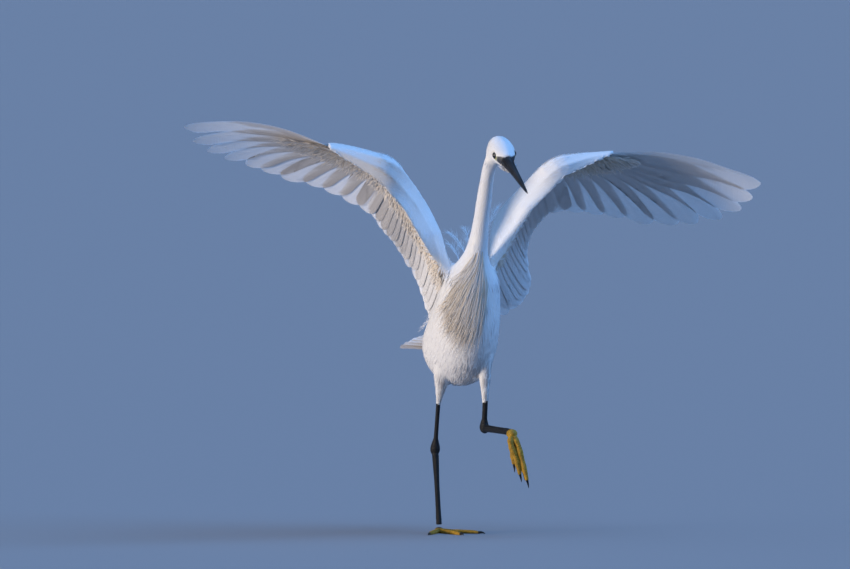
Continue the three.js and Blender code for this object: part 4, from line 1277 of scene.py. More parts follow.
@dataclass
class Tail:
    """Twelve tail feathers, the middle pair on top."""

    material: Material
    root: Triple = (28, 58, 241.5)
    drop: float = math.radians(-3)
    feathers: int = 12
    spread: float = math.radians(21)
    lap: float = 1.1
    arch: float = 6.5
    roof: float = math.radians(24)
    first: float = 16.0
    length: float = 76.0
    wide: float = 17.0

    def __post_init__(self) -> None:
        """Works out the tail's own directions."""
        self.way = np.array([0, math.cos(self.drop), -math.sin(self.drop)])
        self.up = np.array([0, math.sin(self.drop), math.cos(self.drop)])

    def build(self) -> Object:
        """Makes the feathers."""
        i = np.arange(self.feathers)
        half_count = (self.feathers - 1) / 2
        across = (i - half_count) / half_count
        order = np.abs(i - self.feathers / 2 + 0.25)
        angle = across * self.spread
        side = np.array([1.0, 0, 0])
        way = np.cos(angle)[:, None] * self.way + np.sin(angle)[:, None] * side
        lateral = np.cos(angle)[:, None] * side - np.sin(angle)[:, None] * self.way
        start = (np.array(self.root) + self.way * self.first + np.outer(across * 11, side)
                 + np.outer(3 - order * self.lap - self.arch * across ** 2, self.up))
        tilt = (across * self.roof)[:, None]
        top = np.cos(tilt) * self.up + np.sin(tilt) * lateral
        lateral = np.cos(tilt) * lateral - np.sin(tilt) * self.up
        chance = np.random.default_rng(21)
        length = self.length * (1 - 0.05 * np.abs(across)) * (1 + chance.normal(0, 0.01, self.feathers))
        t = TIP_ROWS[None, :, None, None]
        v = VANE_COLUMNS[None, None, :, None]
        shape = lambda a: a[:, None, None, :]
        long = length[:, None, None, None]
        middle = (shape(start) + shape(way) * (long * t - 2.2 * v ** 2 * flight_outline(t))
                  + shape(lateral) * (v * self.wide / 2 * flight_outline(t))
                  - self.up * 3 * t * t + shape(top) * 0.5 * (1 - v ** 2))
        half = 0.28 + 0.25 * shaft_ridge(v) * (1 - 0.75 * t)
        half = np.broadcast_to(half, (*middle.shape[:3], 1))[..., 0]
        # Painted shade: the outer feathers are darker on their upper side, and the lower side of every
        # feather is dark, as the underside of the tail lies in shade.
        tint = np.zeros((*middle.shape[:3], 3))
        tint[..., 1] = 0.95 * (across ** 2)[:, None, None]
        tint[..., 2] = chance.uniform(0, 1, self.feathers)[:, None, None]
        under = tint.copy()
        under[..., 1] = 0.85
        vane = abreast(v[..., 0], long[..., 0] * t[..., 0])
        surface = Surface()
        Leaves(len(TIP_ROWS), len(VANE_COLUMNS), 5).add(surface, middle, shape(top), half, tint, vane, under)
        return finish_piece(surface.build("tail_feathers", self.material), Slot.PLUMAGE)


# Guides: the lines that tell a coat where it lies


@dataclass
class Guide:
    """Points along one part of the body, with the lie of its coat and its thickness."""

    region: str
    at: Array
    lie: Array
    radius: Array
    share: Array


class Coat:
    """Scatters locks over the skin, each by the nearest guide points."""

    def __init__(self, skin: Object, guides: Sequence[Guide]) -> None:
        """Reads the skin's triangles and the guides."""
        mesh = skin.data
        mesh.calc_loop_triangles()
        self.points = read_points(mesh)
        self.normals = read(mesh.vertex_normals, "vector", 3).astype(float)
        self.corners = read(mesh.loop_triangles, "vertices", 3, np.int32)
        a, b, c = (self.points[self.corners[:, k]] for k in range(3))
        self.areas = np.linalg.norm(np.cross(b - a, c - a), axis=1) / 2
        self.names = [guide.region for guide in guides]
        self.at, lie, self.radius, self.share = (
            np.concatenate([getattr(guide, key) for guide in guides])
            for key in ("at", "lie", "radius", "share"))
        self.lie = unit(lie)
        self.owner = np.concatenate([np.full(len(guide.at), k) for k, guide in enumerate(guides)])

    def sample(self, density: float, seed: int) -> tuple[Array, Array]:
        """Returns random points of the skin with their normals, about density of them a square millimetre."""
        chance = np.random.default_rng(seed)
        count = int(self.areas.sum() * density)
        pick = np.searchsorted(np.cumsum(self.areas), chance.uniform(0, self.areas.sum(), count))
        pick = np.minimum(pick, len(self.corners) - 1)
        u, v = chance.uniform(0, 1, (2, count))
        flip = u + v > 1
        u, v = np.where(flip, 1 - u, u), np.where(flip, 1 - v, v)
        weights = np.stack([1 - u - v, u, v], 1)[..., None]
        corners = self.corners[pick]
        return (self.points[corners] * weights).sum(1), unit((self.normals[corners] * weights).sum(1))

    def thinned(self, points: Array, spacing: Array, seed: int) -> Array:
        """Returns the numbers of points that keep about a spacing from each other."""
        chance = np.random.default_rng(seed)
        order = chance.permutation(len(points))
        keep, cells = [], {}
        cell = float(np.max(spacing))
        keys = np.floor(points / cell).astype(int)
        for i in order:
            x, y, z = keys[i]
            limit = spacing[i] ** 2
            near = [j for dx in (-1, 0, 1) for dy in (-1, 0, 1) for dz in (-1, 0, 1)
                    for j in cells.get((x + dx, y + dy, z + dz), ())]
            if near and np.min(np.sum((points[near] - points[i]) ** 2, axis=1)) < limit:
                continue
            cells.setdefault((x, y, z), []).append(i)
            keep.append(i)
        return np.array(keep)

    def describe(self, points: Array, normals: Array) -> tuple[Array, Array, Array]:
        """Finds each point's region, the lie of its coat and its place on the map.

        Args:
            points: points of the skin.
            normals: its normals there.

        Returns:
            The number of the guide, the unit lie along the skin and the place on the map.
        """
        owner = np.empty(len(points), int)
        lie = np.empty_like(points)
        home = np.empty((len(points), 2))
        batch = 4000
        for start in range(0, len(points), batch):
            part = slice(start, start + batch)
            away = np.linalg.norm(points[part, None] - self.at[None], axis=2) / self.radius
            nearest = np.argmin(away, axis=1)
            weight = np.exp(-5 * (away - away.min(1, keepdims=True)))
            lie[part] = weight @ self.lie / weight.sum(1, keepdims=True)
            owner[part] = self.owner[nearest]
            out = points[part] - self.at[nearest]
            turn = np.arctan2(out[:, 0], out[:, 2]) / (2 * math.pi) + 0.5
            home[part] = abreast(turn, self.share[nearest])
        lie = lie - normals * np.sum(lie * normals, axis=1, keepdims=True)
        return owner, unit(lie), home * (1 - 2 * PATCH)

    @staticmethod
    def blended(points: Array, numbers: Array, reach: float) -> Array:
        """Returns numbers averaged over cubes of a given size, so that regions pass into each other."""
        total = np.zeros_like(numbers)
        shifts = ((0, 0, 0), (0.5, 0, 0), (0, 0.5, 0), (0, 0, 0.5), (0.5, 0.5, 0.5))
        for shift in shifts:
            keys = np.floor(points / reach + shift).astype(np.int64)
            code = (keys[:, 0] * 73856093) ^ (keys[:, 1] * 19349663) ^ (keys[:, 2] * 83492791)
            _, index, counts = np.unique(code, return_inverse=True, return_counts=True)
            for k in range(numbers.shape[1]):
                total[:, k] += (np.bincount(index, numbers[:, k]) / counts)[index]
        return total / len(shifts)


@dataclass(frozen=True)
class Lock:
    """Sizes of a coat's locks in one region, in millimetres, how far they rise off the skin, and how many
    times their thickness their tips curl down to it."""

    spacing: float
    long: float
    wide: float
    thick: float
    rise: float
    curl: float
    warmth: float = 0.0

    def numbers(self) -> tuple[float, ...]:
        """Returns the sizes as a row."""
        return self.spacing, self.long, self.wide, self.thick, self.rise, self.warmth


LOCKS = {
    "trunk": Lock(2.35, 13.0, 2.8, 0.26, 0.03, 6.5),
    "neck": Lock(1.45, 8.5, 1.6, 0.20, 0.02, 2.5),
    "head": Lock(1.15, 4.8, 1.2, 0.20, 0.04, 3.0),
    "tail": Lock(3.0, 18.0, 4.0, 0.35, 0.04, 3.0),
    "arm_over": Lock(2.0, 7.5, 2.8, 0.24, 0.02, 5.0),
    # The locks under the arm are warmed to tan: painted warm shade.
    "arm_under": Lock(1.9, 6.5, 2.0, 0.34, 0.08, 3.0, 0.5),
    "thigh": Lock(1.9, 9.0, 2.0, 0.30, 0.04, 2.0),
}


def limb(points: Sequence[Sequence[float]], radii: Sequence[float], count: int, sides: int,
         swell: Optional[Callable[[Array], Array]] = None) -> Array:
    """Returns the rings of a round limb along a curve.

    Args:
        points: the curve's points.
        radii: radii spread evenly along it.
        count: how many rings.
        sides: points in a ring.
        swell: what the radius is multiplied by, from the share of the way.

    Returns:
        Points as ring, point, xyz.
    """
    t = np.linspace(0, 1, count)
    line = Spline(points)
    at, tangent = line.at(t), line.tangent(t)
    across = unit(np.cross(tangent[0], (0.31, 0.2, 0.93)))
    frames = []
    for way in tangent:
        across = unit(across - way * (across @ way))
        frames.append(across)
    first = np.array(frames)
    radius = smooth_value(radii, t * (len(radii) - 1))
    if swell is not None:
        radius = radius * swell(t)
    return at[:, None] + wheel(first, np.cross(tangent, first), sides) * radius[:, None, None]


def ball_rings(middle: Sequence[float], sizes: Sequence[float], count: int = 16, sides: int = 20) -> Array:
    """Returns the rings of an egg shape, from its lowest to its highest ring."""
    rise = np.linspace(-math.pi / 2 + 0.08, math.pi / 2 - 0.08, count)
    angle, flat = circle(sides), np.cos(rise)[:, None]
    ring = abreast(flat * np.cos(angle), flat * np.sin(angle), np.sin(rise)[:, None])
    return np.array(middle, float) + ring * np.array(sizes, float)


def remeshed(made: Object, voxel: float, smooth: int) -> Object:
    """Melts the closed shells of an object into one even surface.

    Args:
        made: the object.
        voxel: the size of the new faces in metres.
        smooth: how many rounds of smoothing.

    Returns:
        The same object.
    """
    melt = made.modifiers.new("Melt", "REMESH")
    melt.mode = "VOXEL"
    melt.voxel_size = voxel
    melt.use_smooth_shade = True
    soften = made.modifiers.new("Soften", "SMOOTH")
    soften.factor = 0.5
    soften.iterations = smooth
    return applied(made)


@dataclass
class Leg:
    """One leg, from the thigh to the claws."""

    side: Side
    knee: tuple
    thigh_end: tuple
    thigh_radii: tuple
    hock: tuple
    ankle: tuple
    palm: tuple
    toes: dict
    shin_radii: tuple = (2.8, 2.7, 2.7, 3.0)
    tarsus_radii: tuple = (4.2, 3.7, 3.1, 3.0, 3.1, 3.7)
    toe_radii: tuple = (2.7, 2.9, 2.7, 2.8, 2.4, 2.5, 1.9)
    palm_size: tuple = (6, 6.3, 4.5)
    claw_length: float = 9.0

    @property
    def name(self) -> str:
        """Returns the side's name."""
        return self.side.name.lower()

    @property
    def stands(self) -> bool:
        """Returns whether the foot is on the floor."""
        return self.palm[2] < 10

    def thigh(self, inset: float) -> Array:
        """Returns the rings of the thigh."""
        hidden = (6.0, 2.0, 0.0, 0.0)
        radii = [max(radius - inset - more, 1.8) for radius, more in zip(self.thigh_radii, hidden)]
        return limb((self.knee, self.thigh_end), radii, 24, 24)

    def shank(self) -> list[Array]:
        """Returns the rings of the bare shin, the hock and the tarsus."""
        end, hock, ankle = (np.array(p, float) for p in (self.thigh_end, self.hock, self.ankle))
        down, on = unit(hock - end), unit(ankle - hock)
        shin = limb((end - down * 4, hock - down * 10), self.shin_radii, 20, 20)
        knuckle = limb((hock - down * 15, hock - down * 4, hock + down * 1.5 + on * 2.5, hock + on * 9),
                       (2.9, 4.6, 6.1, 6.0, 4.6, 3.8), 22, 20)
        return [shin, knuckle, limb((hock + on * 4, ankle), self.tarsus_radii, 26, 20)]

    def toe(self, name: str) -> Array:
        """Returns the rings of one toe, with its pads."""
        near, middle, far = self.toes[name]
        pads = lambda t: 1 + 0.09 * np.cos(t * 8 * math.pi) * ramp(0.1, 0.25, t) * (1 - ramp(0.9, 1, t))
        return limb((self.palm, near, middle, far), self.toe_radii, 40, 16, pads)

    def claw(self, name: str) -> Array:
        """Returns the rings of one claw, curved down to its point."""
        _, middle, far = (np.array(p, float) for p in self.toes[name])
        way = unit(far - middle)
        up, long = np.array([0, 0, 1.0]), self.claw_length
        path = (far - way * 1.2, far + way * long * 0.3 + up * 0.5, far + way * long * 0.7 + up * 0.15,
                far + way * long - up * 1.3)
        return limb(path, (1.7, 1.6, 1.2, 0.8, 0.25), 18, 14)


RIGHT_LEG = Leg(
    Side.RIGHT, (4, -16, 226), (0, 4, 162), (19, 14.5, 7.2, 3.2), (0, 18, 106), (0, 0, 11), (0, 0, 3.2),
    {"inner": ((13.5, -10, 2.2), (29, -21.5, 2.1), (43, -33, 1.6)),
     "middle": ((3.3, -15.6, 2.2), (7.5, -37, 2.1), (11.5, -59, 1.6)),
     "outer": ((-8.5, -14, 2.2), (-18, -32, 2.1), (-26, -47, 1.6)),
     "hind": ((4, 10.5, 2.2), (9, 22.5, 2.1), (14, 34, 1.6))})
LEFT_LEG = Leg(
    Side.LEFT, (47, -46, 226), (50, -38, 166), (17, 11, 6.2, 4.2), (51, -30, 134), (57.5, -124, 133),
    (58, -131, 131),
    {"inner": ((54.5, -137, 119), (61, -139.5, 100), (66, -140, 80)),
     "middle": ((63, -138, 118.5), (69, -141, 96), (74.5, -143, 72.5)),
     "outer": ((66, -127, 119), (71, -127.5, 100), (74, -129, 82)),
     "hind": ((59, -124, 120), (61.5, -122, 106), (63, -123, 92))},
    (3.5, 3.4, 3.4, 3.5), (4.4, 4.2, 4.0, 3.9, 4.0, 4.2), (3.3, 3.9, 3.7, 3.8, 3.4, 3.3, 2.3), (7, 7, 6))


@dataclass
class Skin:
    """The one seamless skin of trunk, neck, head, tail root, wing arms and thighs, under the coat."""

    body: Body
    head: Head
    wings: tuple[Wing, Wing]
    legs: tuple[Leg, Leg]
    tail: Tail
    material: Material
    trunk_inset: float = 2.6
    neck_inset: float = 1.6
    head_inset: float = 1.1
    arm_inset: float = 1.4
    thigh_inset: float = 0.5
    stump: tuple = ((-6, 12, 8), (10, 14, 7), (26, 14, 5), (42, 12, 2))
    nape: Triple = (34.8, -125, 486)
    nape_size: Triple = (8.6, 13, 13)
    voxel: float = 0.00137

    def shells(self) -> list[Array]:
        """Returns the rings of every part that melts into the skin."""
        neck = self.body.neck_foot
        step = self.trunk_inset - self.neck_inset
        inset = lambda place: -self.trunk_inset + step * ramp(neck - 1.5, neck + 1.5, place)
        angle = circle(24)
        stump = [np.array(self.tail.root) + self.tail.way * back
                 + np.outer(np.cos(angle) * wide, (1.0, 0, 0)) + np.outer(np.sin(angle) * thick, self.tail.up)
                 for back, wide, thick in self.stump]
        return [self.body.rings(0.3, 15, 110, inset), self.head.rings(-self.head_inset), np.array(stump),
                *(wing.arm(np.linspace(-5.3, 25, 62), self.arm_inset) for wing in self.wings),
                *(leg.thigh(self.thigh_inset) for leg in self.legs), ball_rings(self.nape, self.nape_size)]

    def build(self) -> Object:
        """Makes the skin, with a socket for each eye and the bare lores marked."""
        made = tube_object("skin", self.shells(), self.material)
        remeshed(made, self.voxel, 4)
        mesh = made.data
        points = self._sockets(self._melted(mesh, read_points(mesh)))
        write_points(mesh, points)
        lore = self.head.lore(points)
        forward = ramp(4.0, 6.5, self.head.local(points)[:, 0])
        dye(mesh, self.material, lore * (1 - forward), ramp(0.1, 0.5, lore) * forward)
        arms = [f"{wing.name}_wing_{part}" for wing in self.wings
                for part in ("upper_arm", "forearm", "hand")]
        return finish_piece(made, Slot.PLUMAGE, "torso", "neck_lower", "neck_upper", "head", "tail",
                            "right_thigh", "left_thigh", *arms)

    def _melted(self, mesh: Mesh, points: Array, rounds: int = 30) -> Array:
        """Smooths the skin where its parts join: at the nape, the thighs and the wing roots."""
        zones = [(self.nape, 26.0)] + [(leg.knee, 34.0) for leg in self.legs]
        zones += [(wing.bone(np.array(-3.0)), 24.0) for wing in self.wings]
        share = np.zeros(len(points))
        for middle, reach in zones:
            away = np.linalg.norm(points - np.array(middle), axis=1)
            share = np.maximum(share, 1 - ramp(0.6 * reach, reach, away))
        first, second = read(mesh.edges, "vertices", 2, np.int32).T
        near = (share[first] > 0) | (share[second] > 0)
        used, ends = np.unique(np.concatenate([first[near], second[near]]), return_inverse=True)
        first, second = ends.reshape(2, -1)
        n, moved, share = len(used), points[used], share[used, None]
        degree = np.bincount(first, minlength=n) + np.bincount(second, minlength=n)
        for _ in range(rounds):
            total = abreast(*(
                np.bincount(first, moved[second, k], n) + np.bincount(second, moved[first, k], n)
                for k in range(3)))
            moved = moved + 0.5 * share * (total / degree[:, None] - moved)
        points[used] = moved
        return points

    def _sockets(self, points: Array) -> Array:
        """Presses the skin in round each eye, and well in behind it."""
        local = self.head.local(points)
        for sign in (-1, 1):
            ahead, left, up = local[:, 0], local[:, 1] * sign, local[:, 2] - self.head.eye_rise
            near = np.hypot(ahead - self.head.eye_ahead, up)
            rim = self.head.eye_out + 2.5
            bowl = rim - 5 * (1 - ramp(3.0, 4.4, near))
            press = (1 - ramp(5.0, 7.0, near)) * (left > 5)
            local[:, 1] = (left + (np.minimum(left, bowl) - left) * press) * sign
        return self.head.place(local[:, 0], local[:, 1], local[:, 2])


def coat_guides(body: Body, head: Head, wings: Sequence[Wing], legs: Sequence[Leg], tail: Tail
                ) -> tuple[list[Guide], list[Lock]]:
    """Returns the guide points of every region and the locks that each wears."""
    guides, locks = [], []

    def guide(region: str, at: Array, lie: Array, radius: Array, lock: str) -> None:
        """Adds one line of guide points."""
        guides.append(Guide(region, at, lie, radius, np.linspace(0, 1, len(at))))
        locks.append(LOCKS[lock])

    place = np.linspace(0.3, 15, 70)
    size = smooth_value([(row[3] * 2 + row[4] + row[5]) / 4 for row in body.rows], place)
    at, lie = body.line.at(place / body.last), -body.line.tangent(place / body.last)
    trunk = place < body.neck_foot
    guide("trunk", at[trunk], lie[trunk], size[trunk], "trunk")
    neck = ~trunk & (place < 14.3)
    guide("neck", at[neck], lie[neck], size[neck], "neck")
    ahead = np.linspace(-34, 14, 24)
    nape = ramp(0, -20, ahead)[:, None]
    down = -body.line.tangent(np.array([14.0 / body.last]))
    guide("head", head.place(ahead, 0 * ahead, 0 * ahead), unit(-head.axis * (1 - nape) + down * nape),
          np.interp(ahead, (-38, -28, -3, 7, 14), (11, 15.5, 15.5, 12, 9.5)), "head")
    back = np.linspace(4, 40, 10)
    guide("tail", np.array(tail.root) + np.outer(back, tail.way), np.tile(tail.way, (10, 1)),
          np.full(10, 11.0), "tail")
    for wing in wings:
        k = np.linspace(-2.5, 25, 56)
        lie = sum(0.5 * unit(wing.tip(k + shift) - wing.bone(k + shift))
                  + unit(wing.bone(k + shift + 1) - wing.bone(k + shift - 1)) for shift in (-4, -2, 0, 2, 4))
        for share in (0.1, 0.5, 0.95):
            middle = mix(wing.front(k), wing.bone(k), np.full(k.shape, share))
            for name, sign in (("over", 1), ("under", -1)):
                guide(f"{wing.name}_arm_{name}", middle + wing.dorsal(k) * 3 * sign,
                      lie, np.full(len(k), 11.0), f"arm_{name}")
    for leg in legs:
        share = np.linspace(0.1, 1, 20)
        knee, end = np.array(leg.knee, float), np.array(leg.thigh_end, float)
        guide(f"{leg.name}_thigh", mix(knee, end, share), np.tile(end - knee, (20, 1)),
              smooth_value(leg.thigh_radii, share * 3), "thigh")
    return guides, locks


@dataclass
class Plumes:
    """Long narrow plumes along free curves."""

    name: str
    material: Material
    wide: float
    thick: float
    rows: int = 14

    def build(self, path: Callable[[Array], Array], up: Callable[[Array], Array], tint: Array, length: Array,
              wide: Array) -> Object:
        """Makes the plumes.

        Args:
            path: points as plume, row, xyz from shares of the way, which are given as plume, row.
            up: the way to each plume's upper side, likewise.
            tint: warmth, shade and a random number for each plume.
            length: millimetres for each plume.
            wide: the width of each as a share of the widest.

        Returns:
            The piece.
        """
        n = len(tint)
        t = np.broadcast_to(np.linspace(0, 1, self.rows), (n, self.rows))
        at = path(t)
        tangent = unit(path(np.minimum(t + 0.01, 1)) - path(np.maximum(t - 0.01, 0)))
        normal = up(t)
        side = unit(np.cross(tangent, normal))
        normal = np.cross(side, tangent)
        v = np.array([-1, -0.4, 0, 0.4, 1])
        half_wide = plume_outline(t) * self.wide / 2 * wide[:, None]
        middle = (at[:, :, None] + side[:, :, None] * (half_wide[..., None] * v)[..., None]
                  + normal[:, :, None] * (half_wide[..., None] * 0.3 * (1 - v ** 2))[..., None])
        half = self.thick / 2 * (1 - 0.6 * t)[..., None] * (1 - 0.5 * v ** 2)
        rgb = np.broadcast_to(tint[:, None, None, :], (*middle.shape[:3], 3))
        vane = abreast(v, (t * length[:, None])[..., None])
        surface = Surface()
        cells = 2 * math.ceil(math.sqrt(n / 2))
        Leaves(self.rows, len(v), cells).add(surface, middle, normal[:, :, None], half, rgb, vane)
        return finish_piece(surface.build(self.name, self.material), Slot.PLUMAGE)


def breast_plumes(body: Body, material: Material, count: int = 560) -> Object:
    """Makes the cream locks that hang from the foot of the neck over the breast."""
    chance = np.random.default_rng(31)
    share = chance.uniform(0, 1, count)
    late = chance.uniform(0, 1, count)
    start = 9.7 - 3.1 * late ** 0.8
    turn = np.radians(270 + 14 - 46 * share + chance.normal(0, 4, count))
    drop = 2.1 + 2.0 * chance.uniform(0, 1, count)
    end = np.maximum(start - drop, 4.5 + 0.9 * np.abs(share - 0.45) + 0.7 * chance.uniform(0, 1, count))
    end_turn = turn - np.radians(14 + 28 * share + chance.normal(0, 6, count))
    loose = 1.0 + 3.0 * chance.uniform(0, 1, count) ** 2

    def run(t: Array) -> tuple[Array, Array]:
        """Returns places and angles on the body along the plumes."""
        return (start[:, None] + (end - start)[:, None] * t,
                turn[:, None] + (end_turn - turn)[:, None] * t ** 1.4)

    def path(t: Array) -> Array:
        """Returns points along the plumes."""
        lift = -3.2 + 4.9 * ramp(0, 0.4, t) + loose[:, None] * t ** 2
        return body.point(*run(t), lift)

    def up(t: Array) -> Array:
        """Returns the way off the skin."""
        return body.out(*run(t))

    warm = 0.25 + 0.65 * chance.uniform(0, 1, count)
    tint = abreast(warm, 0.25 * chance.uniform(0, 1, count) ** 2, chance.uniform(0, 1, count))
    return Plumes("breast_plumes", material, 1.8, 0.3).build(
        path, up, tint, drop * 22, 0.6 + 0.7 * chance.uniform(0, 1, count))


BACK_PLUMES = (
    (6.1, 97, -0.05, (27, 154, 248)), (6.5, 95, -0.04, (28, 168, 246)), (6.2, 90, -0.04, (32, 178, 248)),
    (6.6, 80, -0.05, (37, 166, 246)), (6.1, 69, -0.05, (42, 152, 249)), (6.9, 96, 0.12, (27, 134, 296)),
    (7, 84, 0.12, (38, 124, 314)), (7.3, 104, 0.27, (22, 60, 360)), (7.4, 92, 0.27, (31, 66, 377)),
    (7.3, 78, 0.27, (45, 60, 386)), (7.2, 66, 0.18, (91, 40, 419)))


@dataclass
class Aigrettes:
    """The loose plumes of the back: a fine shaft with long free barbs on both sides."""

    body: Body
    material: Material
    strands: int = 3
    barbs: int = 58

    def build(self) -> None:
        """Makes the shafts and their barbs."""
        chance = np.random.default_rng(41)
        shafts, roots = [], []
        for root, turn, rise, tip in BACK_PLUMES:
            for _ in range(self.strands if tip[2] < 300 else 1):
                place = np.array(root + chance.normal(0, 0.12))
                angle = np.array(math.radians(turn + chance.normal(0, 3)))
                start = self.body.point(place, angle, -3.0)
                end = np.array(tip, float) + chance.normal(0, 1, 3) * (4, 5, 4)
                length = np.linalg.norm(end - start)
                bend = mix(start, end, np.array(0.45)) + np.array([0, 0, length * rise])
                t = np.linspace(0, 1 - 13 / length, 24)[:, None]
                line = start * (1 - t) ** 2 + bend * 2 * t * (1 - t) + end * t * t
                shafts.append(limb(line[::3], (0.7, 0.6, 0.45, 0.3, 0.15), 16, 6))
                roots.append(self._barbs(line, length, chance))
        made = tube_object("back_plume_shafts", shafts, self.material, (0.05, 0, 0.5))
        finish_piece(made, Slot.PLUMAGE)
        tree = ScatterTree("Barbs", Element.LOCK, self.material, 2, 3).build()
        finish_piece(Roots.joined(roots).dress("back_plume_barbs", tree, 0.1, 0.12, 42), Slot.PLUMAGE)

    def _barbs(self, line: Array, length: float, chance: np.random.Generator) -> Roots:
        """Returns the roots of one plume's barbs."""
        n = self.barbs
        t = np.sort(chance.uniform(0.18, 1.0, n))
        x = t * (len(line) - 1)
        i = np.minimum(np.floor(x).astype(int), len(line) - 2)
        at = mix(line[i], line[i + 1], x - i)
        way = unit(line[i + 1] - line[i])
        side = unit(np.cross(way, (0.2, 0.1, 1.0))) * np.where(np.arange(n) % 2, 1, -1)[:, None]
        out = unit(np.cross(side, way))
        lean = (0.42 - 0.3 * t + chance.normal(0, 0.05, n))[:, None]
        lie = unit(way + side * lean + out * chance.normal(0, 0.06, n)[:, None])
        long = (13 + 16 * np.sin(math.pi * np.clip(t, 0, 1))) * chance.uniform(0.75, 1.1, n)
        size = abreast(0.55, long, 0.4)
        tint = abreast(0.04, 0.0, chance.uniform(0, 1, n))
        return Roots(at, lie, out, size, abreast(t, chance.uniform(0, 1, n)) * 0.99, tint)


def dress_coat(skin: Object, body: Body, head: Head, wings: Sequence[Wing], legs: Sequence[Leg],
               tail: Tail, material: Material) -> None:
    """Covers the skin with locks, one piece for each region."""
    guides, locks = coat_guides(body, head, wings, legs, tail)
    coat = Coat(skin, guides)
    points, normals = coat.sample(1.6, 51)
    owner, lie, home = coat.describe(points, normals)
    numbers = np.array([lock.numbers() for lock in locks])[owner]
    local = head.local(points)
    from_eye = np.hypot(local[:, 0] - head.eye_ahead, local[:, 2] - head.eye_rise)
    eye = (from_eye < 5.2) & (np.abs(local[:, 1]) >= 6)
    near_head = np.linalg.norm(local, axis=1) < 40
    bare = near_head & ((head.lore(points) > 0.35) | eye | (local[:, 0] > 13))
    for leg in legs:
        bare |= np.linalg.norm(points - np.array(leg.thigh_end), axis=1) < 6
    rows = [v[~bare] for v in (points, normals, owner, lie, home, numbers)]
    rows[-1] = coat.blended(rows[0], rows[-1], 6.0)
    kept = coat.thinned(rows[0], rows[-1][:, 0], 52)
    points, normals, owner, lie, home, numbers = (v[kept] for v in rows)
    chance = np.random.default_rng(53)
    n = len(points)
    rise = (numbers[:, 4] * chance.uniform(0.6, 1.5, n))[:, None]
    way = lie * np.cos(rise) + normals * np.sin(rise)
    out = normals * np.cos(rise) - lie * np.sin(rise)
    size = abreast(numbers[:, 2] * chance.uniform(0.8, 1.2, n), numbers[:, 1] * chance.uniform(0.8, 1.2, n),
                   numbers[:, 3])
    local = head.local(points)
    near_face = ramp(-16, 8, local[:, 0]) * (1 - ramp(35, 45, np.linalg.norm(local, axis=1)))
    size[:, :2] *= (1 - 0.4 * near_face)[:, None]
    for wing in wings:
        from_end = np.linalg.norm(points - np.array(wing.hand_end), axis=1)
        size[:, :2] *= (1 - 0.7 * ramp(18, 8, from_end))[:, None]
    x, y, z = points.T
    # Painted light: the lower trunk and the locks under the arms are warmed as painted warm shade, and lower
    # down the trunk and thighs are darkened as painted shade, except where they face the bird's right side,
    # towards the key light.
    trunk = np.abs(x - 30) < 60
    warmth = np.clip(numbers[:, 5] + 0.10 * (ramp(300, 225, z) * trunk), 0, 1) * chance.uniform(0.6, 1.3, n)
    dusk = 0.6 * ramp(258, 205, z) * trunk * ramp(-0.9, -0.2, normals[:, 0])
    tint = abreast(warmth, dusk * (y < 90), chance.uniform(0, 1, n))
    roots = Roots(points - normals * 0.2 * size[:, 2:], way, out, size, home, tint)
    tree = ScatterTree("Locks", Element.LOCK, material).build()
    names = np.array([coat.names[k] for k in owner])
    for k, region in enumerate(dict.fromkeys(coat.names)):
        chosen = names == region
        if chosen.sum() > 10:
            curl = locks[coat.names.index(region)].curl
            made = roots.chosen(chosen).dress(f"{region}_coat", tree, curl, 0.06, 60 + k)
            finish_piece(made, Slot.PLUMAGE)


